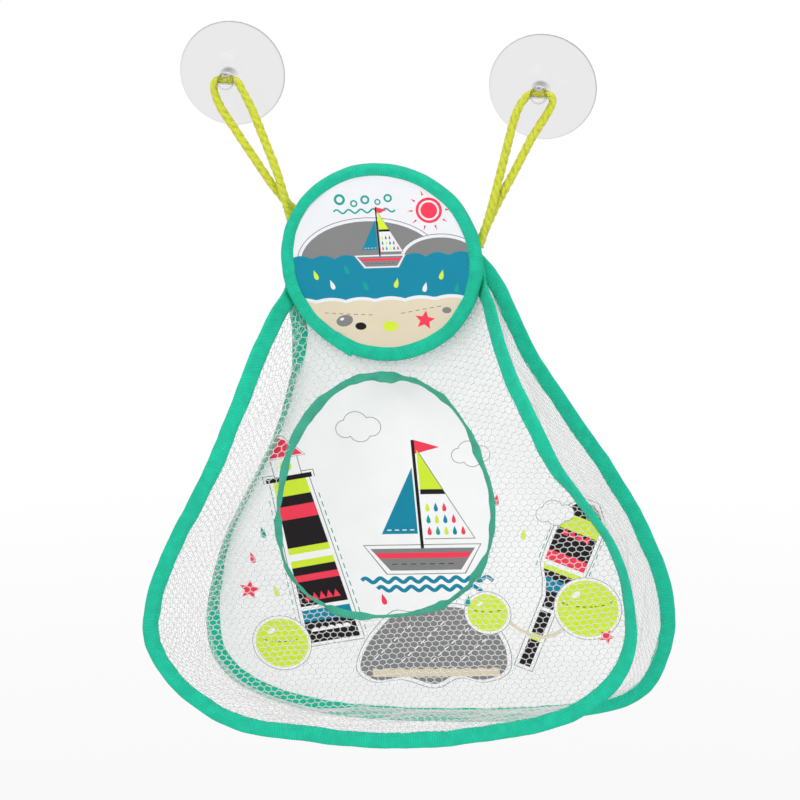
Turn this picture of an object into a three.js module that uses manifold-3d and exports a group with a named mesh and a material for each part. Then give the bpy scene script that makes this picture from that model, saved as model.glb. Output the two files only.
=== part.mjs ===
// Bath toy organizer: a net pouch with a round padded head, hung by two looped cords
// from two clear suction cups. Units are millimetres and +Z is up.
// The wall is the plane Y = 0, the front faces -Y and +X is to the right.
// The origin is on the wall, midway between the two suction cups.

import * as THREE from 'three';
import { mergeVertices } from 'three/addons/utils/BufferGeometryUtils.js';
import Module from 'manifold-3d';

const wasm = await Module();
wasm.setup();

// Fits shared by all pieces
const seatGap = 0.3;
const slotClearance = 0.3;
const cutOverrun = 4;
const weldTolerance = 0.0001;
const foldTolerance = 0.14;
const foldPasses = 5;
const flipPasses = 30;

// Suction cups
const cupSpacing = 175;
const cupRadius = 30;
const cupLandWidth = 6;
const cupRimThickness = 1;
const cupRimChamfer = 0.5;
const cupCavityDepth = 1.5;
const cupHeight = 20.7;
const knobRadius = 5;
const knobRootRadius = 6.4;
const knobRootHeight = 8.4;
const knobEdgeRound = 1.1;
const cupSides = 36;
const cavityShares = [[0, 1], [0.35, 0.9], [0.65, 0.6], [0.88, 0.2]];
const domeShares = [[0, 0], [0.3, 0.09], [0.58, 0.24], [0.78, 0.42], [0.92, 0.68], [1, 1]];

// Cord and the hole across each knob that it runs through
const cordDiameter = 4.5;
const cordSides = 10;
const strandGap = 0.3;
const holeClearance = 0.45;
const holeHeight = 15;
const holeFlare = 1.1;
const holeSides = 16;

// Sewn ends of the cords: a stub behind the edge of the head, as deep as two strands
const stubLength = 2;
const stubHalfWidth = 2.7;
const stubInset = 0.5;
const stubRings = 4;
const stubSides = 10;
const leftStubAngle = THREE.MathUtils.degToRad(155.8);
const rightStubAngle = THREE.MathUtils.degToRad(14.5);

// How the bag hangs
const headDrop = 100.3;
const bagLean = THREE.MathUtils.degToRad(5);
const wallGap = 0.5;

// Head: two covers round a foam core, bound with tape
const headRadius = 57.5;
const headStandoff = 2.4;
const coverThickness = 0.8;
const foamThickness = 2.5;
const headSides = 64;

// Tape
const tapeWidth = 8.5;
const headTapeWidth = 7.2;
const tapeThickness = 0.7;
const mouthTapeWidth = 4.6;

// Net and the printed back sheet
const netThickness = 0.8;
const backThickness = 0.8;

// Back panel outline, from its top to its foot, as shares: how far down it is of the drop
// below the head's centre, how far out of the half width, and how far to the right of the sway
const backDrop = 293;
const backHalfWidth = 139;
const backSway = 14;
const backStations = 84;
const backSideShares = [
  [-0.02, 0.0, 0], [-0.02, 0.158, 0], [-0.019, 0.286, 0], [-0.004, 0.384, 0.05], [0.02, 0.421, 0.12],
  [0.068, 0.457, 0.33], [0.116, 0.47, 0.56], [0.167, 0.487, 0.76], [0.216, 0.514, 0.94],
  [0.266, 0.558, 1.05], [0.317, 0.607, 1.15], [0.369, 0.663, 1.21], [0.42, 0.724, 1.21],
  [0.471, 0.784, 1.17], [0.522, 0.842, 1.11], [0.573, 0.893, 1.04], [0.626, 0.935, 1],
  [0.678, 0.97, 0.96], [0.73, 0.993, 0.9], [0.782, 1, 0.83], [0.835, 0.985, 0.78],
  [0.88, 0.945, 0.82], [0.914, 0.893, 0.96], [0.942, 0.82, 1.2], [0.968, 0.7, 1.5],
  [0.986, 0.53, 1.68], [0.997, 0.27, 1.75], [1, 0, 1.75],
];

// Front panel outline in the same way. Its tape leaves the head's edge a little way out.
const frontDrop = 265;
const frontHalfWidth = 140.6;
const frontSway = 4.2;
const frontLeave = 2.5;
const frontStations = 66;
const frontSideShares = [
  [0.06, 0.412, 0], [0.087, 0.455, 0], [0.117, 0.485, 0], [0.155, 0.522, 0.05], [0.193, 0.56, 0.36],
  [0.232, 0.602, 0.75], [0.272, 0.642, 0.95], [0.316, 0.684, 1], [0.363, 0.728, 0.95],
  [0.417, 0.787, 0.92], [0.472, 0.85, 0.8], [0.526, 0.905, 0.7], [0.581, 0.949, 0.42],
  [0.638, 0.98, 0.05], [0.694, 0.998, -0.3], [0.751, 1, -0.35], [0.808, 0.967, -0.2],
  [0.868, 0.893, -0.1], [0.925, 0.766, -0.3], [0.951, 0.675, -0.6], [0.968, 0.57, -0.8],
  [0.984, 0.38, -0.3], [0.996, 0.19, 0], [1, 0, 0],
];

// The front panel flares out of the plane of the head
const flareDepth = 84;
const flareRun = 85;
const flareStandoff = 0.8;
const seamLap = 0.3;

// Mouth: an egg-shaped opening in the front net
const mouthHalfWidth = 58.6;
const mouthHalfHeight = 56.7;
const mouthCentreX = 3.9;
const mouthBelowHead = 10.3;
const mouthStations = 48;
const mouthShares = [
  [-0.03, 1], [0.28, 0.965], [0.54, 0.9], [0.75, 0.76], [0.9, 0.525], [0.985, 0.3], [1, 0.06],
  [0.965, -0.178], [0.885, -0.42], [0.75, -0.65], [0.55, -0.825], [0.28, -0.95], [-0.04, -0.99],
  [-0.34, -0.985], [-0.6, -0.9], [-0.82, -0.745], [-0.95, -0.53], [-1, -0.2], [-0.99, 0.12],
  [-0.96, 0.37], [-0.895, 0.63], [-0.77, 0.82], [-0.6, 0.95], [-0.4, 1.01],
];

// Mesh of the nets, drawn with fewer and larger holes than the real cloth
const frontPitch = 16;
const gussetPitch = 23;
const strandWidth = 2.6;
const holeMargin = 1.2;

// Gusset: the strip of net that joins the two panels
const gussetStartDepth = 7;
const gussetBackDrop = 28;
const gussetSag = 3;
const gussetSteps = 44;
const gussetGap = 0.7;

// Cord routes, hand-chosen centre points in the frame of the hanging bag.
// Each runs from the sewn end in front, through the knob and back to the end behind.
// They were chosen for these three sizes, and follow the real ones.
const routeCupSpacing = 175;
const routeHeadRadius = 57.5;
const routeHeadDrop = 100.3;
const leftCordRoute = [
  [-54.8, 0.15, -72.8], [-56, 0.15, -68.4], [-58.2, 0.1, -59.5], [-61.5, 0, -49],
  [-65.3, 0, -38.5], [-69.6, 0, -27], [-73.9, 0, -16], [-77.5, 0, -8.4], [-79.6, 0, -4.1],
  [-80.7, 0, -1.9], [-82, 0, -0.5], [-83.6, 0, 0], [-87.5, 0, 0], [-91.4, 0, 0],
  [-93.1, 0, -0.5], [-94.5, 0, -1.8], [-95.1, 0, -3.7], [-94.5, 0, -8.6], [-91.4, 0, -16.3],
  [-84.8, 0.3, -26.9], [-78.2, 0.9, -37.6], [-70.8, 2, -49.6], [-63.6, 3.6, -61.5],
  [-58.2, 4.8, -68.9], [-54.8, 4.95, -72.8],
];
const rightCordRoute = [
  [57.4, 0.15, -81.5], [58.9, 0.15, -76.4], [62, 0.1, -64.5], [65.1, 0, -51.5],
  [68.2, 0, -38.5], [71.3, 0, -25], [74.4, 0, -13], [77.4, 0, -6], [79.5, 0, -3.2],
  [80.7, 0, -1.6], [82, 0, -0.4], [83.6, 0, 0], [87.5, 0, 0], [91.4, 0, 0], [93.1, 0, -0.6],
  [94.3, 0, -1.9], [94.9, 0, -3.8], [93.6, 0, -8], [89.2, 0, -15.8], [84, 0.2, -24.8],
  [79, 0.7, -35], [73.8, 1.6, -46], [67.9, 2.9, -58], [62.7, 4.3, -69], [57.4, 4.95, -81.5],
];

// Depths worked out from the thicknesses above, in the frame of the head
const netHalf = netThickness / 2;
const bindingHalf = netHalf + slotClearance + tapeThickness;
const netY = -(headStandoff - seatGap - netHalf);
const backY = netY + 2 * bindingHalf + seatGap;
const headStack = 2 * coverThickness + foamThickness + 2 * seatGap;
const headHalf = headStack / 2 + slotClearance + tapeThickness;
const headY = -(headStandoff + headHalf);
const stubRadius = cordDiameter + strandGap / 2;
const stubY = seatGap + stubRadius - headStandoff;
const flareRadius = headRadius + flareStandoff;
const mouthCentreZ = -(headRadius + mouthBelowHead + mouthHalfHeight);
const restTilt = Math.asin((holeHeight - wallGap - backY - bindingHalf) / (headDrop + backDrop));

// Geometry helpers

function welded(geometry) {
  const plain = geometry.clone();
  plain.deleteAttribute('normal');
  plain.deleteAttribute('uv');
  const merged = mergeVertices(plain, weldTolerance);
  const corners = merged.index.array;
  const faces = [];
  for (let i = 0; i < corners.length; i += 3) {
    const [a, b, c] = [corners[i], corners[i + 1], corners[i + 2]];
    if (a !== b && b !== c && c !== a) faces.push([a, b, c]);
  }
  return { positions: merged.attributes.position.array, faces };
}

function toSolid(geometry) {
  const { positions, faces } = welded(geometry);
  const triVerts = Uint32Array.from(faces.flat());
  return new wasm.Manifold(new wasm.Mesh({ numProp: 3, vertProperties: positions, triVerts }));
}

function toGeometry(solid) {
  const { vertProperties, triVerts } = solid.getMesh();
  return meshGeometry(vertProperties, triVerts);
}

function meshGeometry(positions, triangles) {
  const geometry = new THREE.BufferGeometry();
  geometry.setAttribute('position', new THREE.BufferAttribute(Float32Array.from(positions), 3));
  geometry.setIndex(Array.from(triangles));
  geometry.computeVertexNormals();
  return geometry;
}

// A solid made of rings of the same number of points, closed on itself or capped.
function ringSolid(rings, closed, capTriangles) {
  const count = rings[0].length;
  const positions = rings.flat().flatMap((point) => point.toArray());
  const triangles = [];
  const spans = closed ? rings.length : rings.length - 1;
  for (let i = 0; i < spans; i += 1) {
    const here = i * count;
    const next = ((i + 1) % rings.length) * count;
    for (let j = 0; j < count; j += 1) {
      const k = (j + 1) % count;
      triangles.push(here + j, here + k, next + k, here + j, next + k, next + j);
    }
  }
  if (!closed) {
    const last = (rings.length - 1) * count;
    capTriangles.forEach(([a, b, c]) => triangles.push(c, b, a, last + a, last + b, last + c));
  }
  return meshGeometry(positions, triangles);
}

// The folded tape's section: across the tape from its fold, and through its thickness.
function tapeSection(width, half) {
  const slot = half - tapeThickness;
  return [
    [width, half], [tapeThickness, half], [0, slot], [0, -slot], [tapeThickness, -half],
    [width, -half], [width, -slot], [tapeThickness, -slot], [tapeThickness, slot], [width, slot],
  ];
}

// Tape along flat stations, before it is laid on its panel.
function flatTape(stations, width, closed) {
  const section = tapeSection(width, bindingHalf);
  const rings = stations.map(({ point, across }) => section.map(([a, b]) => {
    const spot = across.clone().multiplyScalar(a).add(point);
    return new THREE.Vector3(spot.x, spot.y, b);
  }));
  const outline = section.map(([a, b]) => new THREE.Vector2(a, b));
  return ringSolid(rings, closed, THREE.ShapeUtils.triangulateShape(outline, []));
}

// A flat sheet with holes, before it is laid on its panel, which turns it over.
function flatSheet(outline, holes, thickness) {
  const shape = new THREE.Shape(THREE.ShapeUtils.isClockWise(outline) ? outline.slice().reverse() : outline);
  shape.holes = holes.map((hole) => new THREE.Path(hole));
  const geometry = new THREE.ExtrudeGeometry(shape, { depth: thickness, bevelEnabled: false });
  return geometry.translate(0, 0, -thickness / 2).scale(1, 1, -1);
}

// One face, divided at the middles of those of its edges that have one.
function dividedFace([a, b, c], middleOf) {
  const ring = [a, middleOf(a, b), b, middleOf(b, c), c, middleOf(c, a)].filter((spot) => spot !== null);
  const start = ring.findIndex((spot) => ![a, b, c].includes(spot));
  if (start < 0) return [[a, b, c]];
  const turned = ring.slice(start).concat(ring.slice(0, start));
  return turned.slice(1, -1).map((spot, i) => [turned[0], spot, turned[i + 2]]);
}

// Turns the shared edges of flat neighbours until no face is thinner than it has to be.
function evenFaces(spots, faces) {
  const cornerAngle = (at, from, to) => {
    const corner = spots[at];
    return spots[from].clone().sub(corner).angleTo(spots[to].clone().sub(corner));
  };
  const isBetter = (a, b, c, d) => [b, c, d].every((spot) => spots[spot].z === spots[a].z)
    && cornerAngle(c, a, b) + cornerAngle(d, a, b) > Math.PI + weldTolerance;
  const even = faces.slice();
  for (let pass = 0; pass < flipPasses; pass += 1) {
    const sides = new Map();
    even.forEach((face, i) => face.forEach((a, k) => sides.set(`${a} ${face[(k + 1) % 3]}`, i)));
    const turned = new Set();
    even.forEach((face, i) => face.forEach((a, k) => {
      const [b, c] = [face[(k + 1) % 3], face[(k + 2) % 3]];
      const j = sides.get(`${b} ${a}`);
      if (turned.has(i) || turned.has(j)) return;
      const d = even[j].find((spot) => spot !== a && spot !== b);
      if (!isBetter(a, b, c, d)) return;
      even[i] = [a, d, c];
      even[j] = [d, b, c];
      turned.add(i).add(j);
    }));
    if (turned.size === 0) break;
  }
  return even;
}

// Lays a flat piece on a panel. Its edges are halved until they follow the panel closely.
function laid(flat, place) {
  const { positions, faces } = welded(flat);
  const spots = [];
  for (let i = 0; i < positions.length; i += 3) spots.push(new THREE.Vector3().fromArray(positions, i));
  let pieces = evenFaces(spots, faces);
  for (let pass = 0; pass < foldPasses; pass += 1) {
    const middles = new Map();
    const middleOf = (from, to) => {
      const key = [from, to].sort().join(' ');
      if (!middles.has(key)) {
        const middle = spots[from].clone().lerp(spots[to], 0.5);
        const laidMiddle = place(middle);
        const edge = new THREE.Line3(place(spots[from]), place(spots[to]));
        const nearest = edge.closestPointToPoint(laidMiddle, true, new THREE.Vector3());
        middles.set(key, nearest.distanceTo(laidMiddle) > foldTolerance ? spots.push(middle) - 1 : null);
      }
      return middles.get(key);
    };
    pieces = evenFaces(spots, pieces.flatMap((face) => dividedFace(face, middleOf)));
  }
  return meshGeometry(spots.flatMap((spot) => place(spot).toArray()), pieces.flat());
}

// Outlines, as points in the plane of a panel with the head's centre at zero

function bothSides(shares, halfWidth, drop, sway) {
  const side = (out) => shares.map(([down, width, shift]) => (
    new THREE.Vector2(out * width * halfWidth + shift * sway, -down * drop)
  ));
  return side(1).concat(side(-1).slice(0, -1).reverse());
}

function smoothPoints(points, count, closed) {
  const spots = points.map((point) => new THREE.Vector3(point.x, point.y, 0));
  const curve = new THREE.CatmullRomCurve3(spots, closed, 'centripetal');
  const spaced = curve.getSpacedPoints(count).map((spot) => new THREE.Vector2(spot.x, spot.y));
  return closed ? spaced.slice(0, -1) : spaced;
}

// Stations hold a point of the outline and the unit direction that leads into the cloth.
function stationsAlong(points, closed) {
  const last = points.length - 1;
  return points.map((point, i) => {
    const before = i > 0 ? points[i - 1] : points[closed ? last : 0];
    const after = i < last ? points[i + 1] : points[closed ? 0 : last];
    const along = after.clone().sub(before).normalize();
    return { point, across: new THREE.Vector2(along.y, -along.x) };
  });
}

function insetPoints(stations, distance) {
  return stations.map(({ point, across }) => across.clone().multiplyScalar(distance).add(point));
}

// Stations of the three tapes

const backOutline = bothSides(backSideShares, backHalfWidth, backDrop, backSway);
const backEdge = stationsAlong(smoothPoints(backOutline.slice(0, -1), backStations, true), true);

// The front tape ends along the edge of the head, so its first and last stations turn to it.
function turnedToHead(stations) {
  const reach = 2 * tapeWidth;
  return stations.map(({ point, across }, i) => {
    const end = stations[i < stations.length / 2 ? 0 : stations.length - 1].point;
    const share = Math.min(1, point.distanceTo(end) / reach);
    const rim = new THREE.Vector2(-Math.abs(end.y) * Math.sign(end.x), -Math.abs(end.x)).normalize();
    return { point, across: rim.lerp(across, share).normalize() };
  });
}

// The top of the front outline starts at the head's edge, wherever that is.
function startedAtHead(outline) {
  const start = outline[0];
  const shift = Math.sqrt((headRadius + frontLeave) ** 2 - start.y ** 2) - start.x;
  const widest = outline.reduce((most, point) => (point.x > most.x ? point : most));
  return outline.map((point) => {
    const share = Math.max(0, (point.y - widest.y) / (start.y - widest.y));
    return new THREE.Vector2(point.x + Math.sign(point.x) * shift * share, point.y);
  });
}

const frontOutline = startedAtHead(bothSides(frontSideShares, frontHalfWidth, frontDrop, frontSway));
const frontEdge = turnedToHead(stationsAlong(smoothPoints(frontOutline, frontStations, false), false));

// The mouth runs the other way round, so that its stations lead out into the cloth.
const mouthOutline = mouthShares.toReversed().map(([x, z]) => new THREE.Vector2(
  mouthCentreX + x * mouthHalfWidth,
  mouthCentreZ + z * mouthHalfHeight,
));
const mouthEdge = stationsAlong(smoothPoints(mouthOutline, mouthStations, true), true);

// Surfaces of the two panels. A flat spot holds x, z and a distance behind the surface.

const backPlace = (spot) => new THREE.Vector3(spot.x, backY + spot.z, spot.y);
const seamPlace = (spot) => new THREE.Vector3(spot.x, netY + spot.z, spot.y);

function flareAt(radius) {
  const run = Math.max(0, radius - flareRadius);
  const left = Math.max(0, 1 - run / flareRun);
  return { depth: flareDepth * (1 - left * left), slope: 2 * flareDepth * left / flareRun };
}

function frontPlace(spot) {
  const radius = Math.hypot(spot.x, spot.y);
  const { depth, slope } = flareAt(radius);
  const normal = new THREE.Vector3(slope * spot.x / radius, 1, slope * spot.y / radius).normalize();
  return normal.multiplyScalar(spot.z).add(new THREE.Vector3(spot.x, netY - depth, spot.y));
}

// Hexagonal holes of a net, kept clear of its taped edges

function distanceToLine(spot, line) {
  let least = Infinity;
  for (let i = 0; i < line.length; i += 1) {
    const segment = new THREE.Line3(
      new THREE.Vector3(line[i].x, line[i].y, 0),
      new THREE.Vector3(line[(i + 1) % line.length].x, line[(i + 1) % line.length].y, 0),
    );
    const near = segment.closestPointToPoint(new THREE.Vector3(spot.x, spot.y, 0), true, new THREE.Vector3());
    least = Math.min(least, Math.hypot(near.x - spot.x, near.y - spot.y));
  }
  return least;
}

function insideLine(spot, line) {
  let inside = false;
  line.forEach((a, i) => {
    const b = line[(i + 1) % line.length];
    const crosses = (a.y > spot.y) !== (b.y > spot.y);
    if (crosses && spot.x < (b.x - a.x) * (spot.y - a.y) / (b.y - a.y) + a.x) inside = !inside;
  });
  return inside;
}

function hexagon(centre, pitch) {
  const reach = (pitch - strandWidth) / Math.sqrt(3);
  return Array.from({ length: 6 }, (_, i) => {
    const angle = (i + 0.5) * Math.PI / 3;
    return new THREE.Vector2(centre.x + reach * Math.cos(angle), centre.y + reach * Math.sin(angle));
  });
}

function hexagons(low, high, pitch, allowed) {
  const holes = [];
  const rowPitch = pitch * Math.sqrt(3) / 2;
  const rows = Math.ceil((high.y - low.y) / rowPitch);
  const columns = Math.ceil((high.x - low.x) / pitch);
  for (let row = 0; row <= rows; row += 1) {
    for (let column = 0; column <= columns; column += 1) {
      const x = low.x + (column + (row % 2) / 2) * pitch;
      const hole = hexagon(new THREE.Vector2(x, low.y + row * rowPitch), pitch);
      if (hole.every(allowed)) holes.push(hole);
    }
  }
  return holes;
}

// Sub-parts

function suctionCup() {
  const landRadius = cupRadius - cupLandWidth;
  const rimRadius = cupRadius - cupRimChamfer;
  const cavity = cavityShares.map(([r, h]) => new THREE.Vector2(r * landRadius, h * cupCavityDepth));
  const dome = domeShares.map(([r, h]) => new THREE.Vector2(
    rimRadius + (knobRootRadius - rimRadius) * r,
    cupRimThickness + (knobRootHeight - cupRimThickness) * h,
  ));
  const profile = [
    ...cavity,
    new THREE.Vector2(landRadius, 0),
    new THREE.Vector2(rimRadius, 0),
    new THREE.Vector2(cupRadius, cupRimChamfer),
    ...dome,
    new THREE.Vector2(knobRadius, holeHeight - cordDiameter),
    new THREE.Vector2(knobRadius, cupHeight - knobEdgeRound),
    new THREE.Vector2(knobRadius - knobEdgeRound, cupHeight),
    new THREE.Vector2(0, cupHeight),
  ];
  const body = toSolid(new THREE.LatheGeometry(profile, cupSides).rotateX(Math.PI));
  return toGeometry(body.subtract(knobHole()));
}

// The hole's two lips are flared, so that the cord turns down over a soft edge.
function knobHole() {
  const radius = cordDiameter / 2 + holeClearance;
  const end = knobRadius + cutOverrun;
  const wide = radius + holeFlare + cutOverrun;
  const profile = [
    [0, -end], [wide, -end], [radius + holeFlare, -knobRadius], [radius, holeFlare - knobRadius],
    [radius, knobRadius - holeFlare], [radius + holeFlare, knobRadius], [wide, end], [0, end],
  ].map(([r, h]) => new THREE.Vector2(r, h));
  const bore = new THREE.LatheGeometry(profile, holeSides).rotateZ(Math.PI / 2);
  return toSolid(bore.translate(0, -holeHeight, 0));
}

// Where the cord bends round the edge of the head, seen from the front
function bendSpot(angle, radius, drop) {
  const reach = radius - stubInset;
  return new THREE.Vector2(Math.cos(angle) * reach, Math.sin(angle) * reach - drop);
}

// Moves a route's top with its knob and its foot with the head.
function fittedRoute(route, angle) {
  const bend = bendSpot(angle, headRadius, headDrop).sub(bendSpot(angle, routeHeadRadius, routeHeadDrop));
  const knob = Math.sign(Math.cos(angle)) * (cupSpacing - routeCupSpacing) / 2;
  return route.map(([x, y, z]) => {
    const share = Math.min(1, Math.max(0, z / route[0][2]));
    return [x + knob * (1 - share) + bend.x * share, y, z + bend.y * share];
  });
}

function cord(route) {
  const path = new THREE.CatmullRomCurve3(route.map(([x, y, z]) => new THREE.Vector3(x, y, z)));
  path.getUtoTmapping = (share) => share;
  const section = new THREE.Shape(Array.from({ length: cordSides }, (_, i) => {
    const angle = 2 * Math.PI * i / cordSides;
    return new THREE.Vector2(Math.cos(angle), Math.sin(angle)).multiplyScalar(cordDiameter / 2);
  }));
  const steps = route.length - 1;
  return new THREE.ExtrudeGeometry(section, { steps, extrudePath: path, bevelEnabled: false });
}

// The stub's round nose is centred where the cord bends, so the bag can tilt about it.
function cordStub(angle, route) {
  const bend = bendSpot(angle, headRadius, headDrop);
  const [x, , z] = route[0];
  const turn = Math.atan2(x - bend.x, z - bend.y);
  const stub = new THREE.CapsuleGeometry(stubRadius, stubLength, stubRings, stubSides);
  stub.rotateX(Math.PI / 2).translate(0, 0, -stubLength / 2);
  stub.scale(stubHalfWidth / stubRadius, 1, 1).rotateY(turn);
  return stub.translate(bend.x, stubY, bend.y);
}

function headSheet(thickness, behindFront) {
  const radius = headRadius - tapeThickness - slotClearance;
  const front = headY - headStack / 2;
  const disc = new THREE.CylinderGeometry(radius, radius, thickness, headSides);
  return disc.translate(0, front + behindFront + thickness / 2, 0);
}

function headBinding() {
  const section = tapeSection(headTapeWidth, headHalf);
  const loop = [...section, section[0]].map(([a, b]) => new THREE.Vector2(headRadius - a, headY - b));
  return new THREE.LatheGeometry(loop, headSides);
}

function backPanel() {
  const outline = insetPoints(backEdge, tapeThickness + slotClearance);
  return laid(flatSheet(outline, [], backThickness), backPlace);
}

function headArc(radius, first, last) {
  const steps = Math.round(headSides * Math.abs(last - first) / (2 * Math.PI));
  return Array.from({ length: steps + 1 }, (_, i) => {
    const angle = first + (last - first) * i / steps;
    return new THREE.Vector2(Math.cos(angle), Math.sin(angle)).multiplyScalar(radius);
  });
}

// The front net ends in a flat seam behind the head, between the head's tape and the wall.
function frontNet() {
  const inset = tapeThickness + slotClearance;
  const outer = insetPoints(frontEdge, inset);
  const right = outer[0].angle() - 2 * Math.PI;
  const left = outer[outer.length - 1].angle() - 2 * Math.PI;
  const outline = outer.concat(headArc(flareRadius, left, right));
  const mouth = insetPoints(mouthEdge, inset);
  const holes = hexagons(
    new THREE.Vector2(-frontHalfWidth, -frontDrop),
    new THREE.Vector2(frontHalfWidth, 0),
    frontPitch,
    clearOfTapes(outline, mouth),
  );
  const net = laid(flatSheet(outline, [mouth, ...holes], netThickness), frontPlace);
  const seamOutline = headArc(headRadius - tapeWidth, left, right);
  seamOutline.push(...headArc(flareRadius + seamLap, right, left));
  const seam = laid(flatSheet(seamOutline, [], netThickness), seamPlace);
  return toGeometry(toSolid(net).add(toSolid(seam)));
}

function clearOfTapes(outline, mouth) {
  const edge = frontEdge.map(({ point }) => point);
  return (spot) => insideLine(spot, outline)
    && !insideLine(spot, mouth)
    && spot.length() > flareRadius + holeMargin
    && distanceToLine(spot, edge) > tapeWidth + holeMargin
    && distanceToLine(spot, mouthOutline) > mouthTapeWidth + holeMargin;
}

// The gusset follows the middle of both tapes, from one side of the head round to the other.
function gussetNet() {
  const frontLine = insetPoints(frontEdge, tapeWidth / 2);
  const backLine = insetPoints(backEdge, tapeWidth / 2);
  const frontCurve = spanCurve(frontLine.filter((spot) => flareAt(spot.length()).depth > gussetStartDepth));
  const backCurve = spanCurve(backLine.filter((spot) => spot.y < -gussetBackDrop));
  const endsAt = (share) => [
    backPlace(flatSpot(backCurve, share, -bindingHalf - gussetGap)),
    frontPlace(flatSpot(frontCurve, share, bindingHalf + gussetGap)),
  ];
  const length = (frontCurve.getLength() + backCurve.getLength()) / 2;
  const widthAt = (share) => endsAt(share)[0].distanceTo(endsAt(share)[1]);
  const surface = (along, up) => {
    const share = Math.min(1, Math.max(0, along / length));
    const [back, front] = endsAt(share);
    const rise = 0.5 + up / widthAt(share);
    const inward = new THREE.Vector3(-back.x, 0, -frontDrop / 2 - back.z).normalize();
    const sag = gussetSag * 4 * rise * (1 - rise) * Math.min(1, widthAt(share) / flareDepth);
    return back.lerp(front, rise).addScaledVector(inward, sag);
  };
  const place = (spot) => {
    const along = surface(spot.x + gussetSag, spot.y).sub(surface(spot.x - gussetSag, spot.y));
    const over = surface(spot.x, spot.y + gussetSag).sub(surface(spot.x, spot.y - gussetSag));
    return surface(spot.x, spot.y).addScaledVector(over.cross(along).normalize(), spot.z);
  };
  const steps = Array.from({ length: gussetSteps + 1 }, (_, i) => i / gussetSteps);
  const lower = steps.map((share) => new THREE.Vector2(share * length, -widthAt(share) / 2));
  const upper = steps.map((share) => new THREE.Vector2(share * length, widthAt(share) / 2));
  const outline = lower.concat(upper.reverse());
  const allowed = (spot) => insideLine(spot, outline)
    && distanceToLine(spot, outline) > strandWidth + holeMargin;
  const holes = hexagons(
    new THREE.Vector2(0, -flareDepth),
    new THREE.Vector2(length, flareDepth),
    gussetPitch,
    allowed,
  );
  return laid(flatSheet(outline, holes, netThickness), place);
}

function flatSpot(curve, share, behind) {
  const spot = curve.getPointAt(share);
  return new THREE.Vector3(spot.x, spot.y, behind);
}

function spanCurve(line) {
  const spots = line.map((spot) => new THREE.Vector3(spot.x, spot.y, 0));
  return new THREE.CatmullRomCurve3(spots, false, 'centripetal');
}

// Assembly

function finish(colour, roughness, metalness = 0) {
  return new THREE.MeshStandardMaterial({ color: colour, roughness, metalness });
}

function clearPlastic() {
  const material = finish(0xe9ebec, 0.18);
  material.transparent = true;
  material.opacity = 0.45;
  return material;
}

const tealTape = () => finish(0x20c49b, 0.8);
const whiteNet = () => finish(0xeef0f0, 0.75);
const limeCord = () => finish(0xcdd73c, 0.85);
const whiteSheet = () => finish(0xf6f7f8, 0.55);
const foam = () => finish(0xe3e5e2, 0.9);

function piece(name, geometry, material) {
  const mesh = new THREE.Mesh(geometry, material);
  mesh.name = name;
  return mesh;
}

function headPieces() {
  const foamBehind = coverThickness + seatGap;
  const backingBehind = foamBehind + foamThickness + seatGap;
  return [
    piece('head_front_cover', headSheet(coverThickness, 0), whiteSheet()),
    piece('head_foam_core', headSheet(foamThickness, foamBehind), foam()),
    piece('head_backing', headSheet(coverThickness, backingBehind), whiteSheet()),
    piece('head_binding', headBinding(), tealTape()),
  ];
}

function pouchPieces() {
  return [
    piece('back_panel', backPanel(), whiteSheet()),
    piece('back_binding', laid(flatTape(backEdge, tapeWidth, true), backPlace), tealTape()),
    piece('gusset_net', gussetNet(), whiteNet()),
    piece('front_net', frontNet(), whiteNet()),
    piece('front_binding', laid(flatTape(frontEdge, tapeWidth, false), frontPlace), tealTape()),
    piece('mouth_binding', laid(flatTape(mouthEdge, mouthTapeWidth, true), frontPlace), tealTape()),
  ];
}

const organizer = new THREE.Group();

[['left_suction_cup', -cupSpacing / 2], ['right_suction_cup', cupSpacing / 2]].forEach(([name, x]) => {
  const cup = piece(name, suctionCup(), clearPlastic());
  cup.position.set(x, 0, 0);
  organizer.add(cup);
});

// The bag turns about the line through both knob holes until its back rests on the wall.
const hanging = new THREE.Group();
hanging.position.set(0, -holeHeight, 0);
hanging.rotation.x = restTilt;
[['left', leftCordRoute, leftStubAngle], ['right', rightCordRoute, rightStubAngle]].forEach(
  ([side, drawn, angle]) => {
    const route = fittedRoute(drawn, angle);
    hanging.add(piece(`${side}_cord`, cord(route), limeCord()));
    hanging.add(piece(`${side}_cord_stub`, cordStub(angle, route), limeCord()));
  },
);
organizer.add(hanging);

// The bag leans a little, with its lower edge to the right.
const bag = new THREE.Group();
bag.position.set(0, 0, -headDrop);
bag.rotation.y = -bagLean;
bag.add(...headPieces(), ...pouchPieces());
hanging.add(bag);

export default organizer;
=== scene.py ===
"""Dresses the bath toy organizer: clear suction cups, lime cords, teal tape, white net and
printed covers. All lengths are millimetres until they go into a mesh, where they are metres."""

import math
import bmesh
import bpy
from bpy.props import FloatProperty, FloatVectorProperty, IntProperty, PointerProperty
from mathutils import Matrix, Vector, geometry, kdtree, noise


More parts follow.
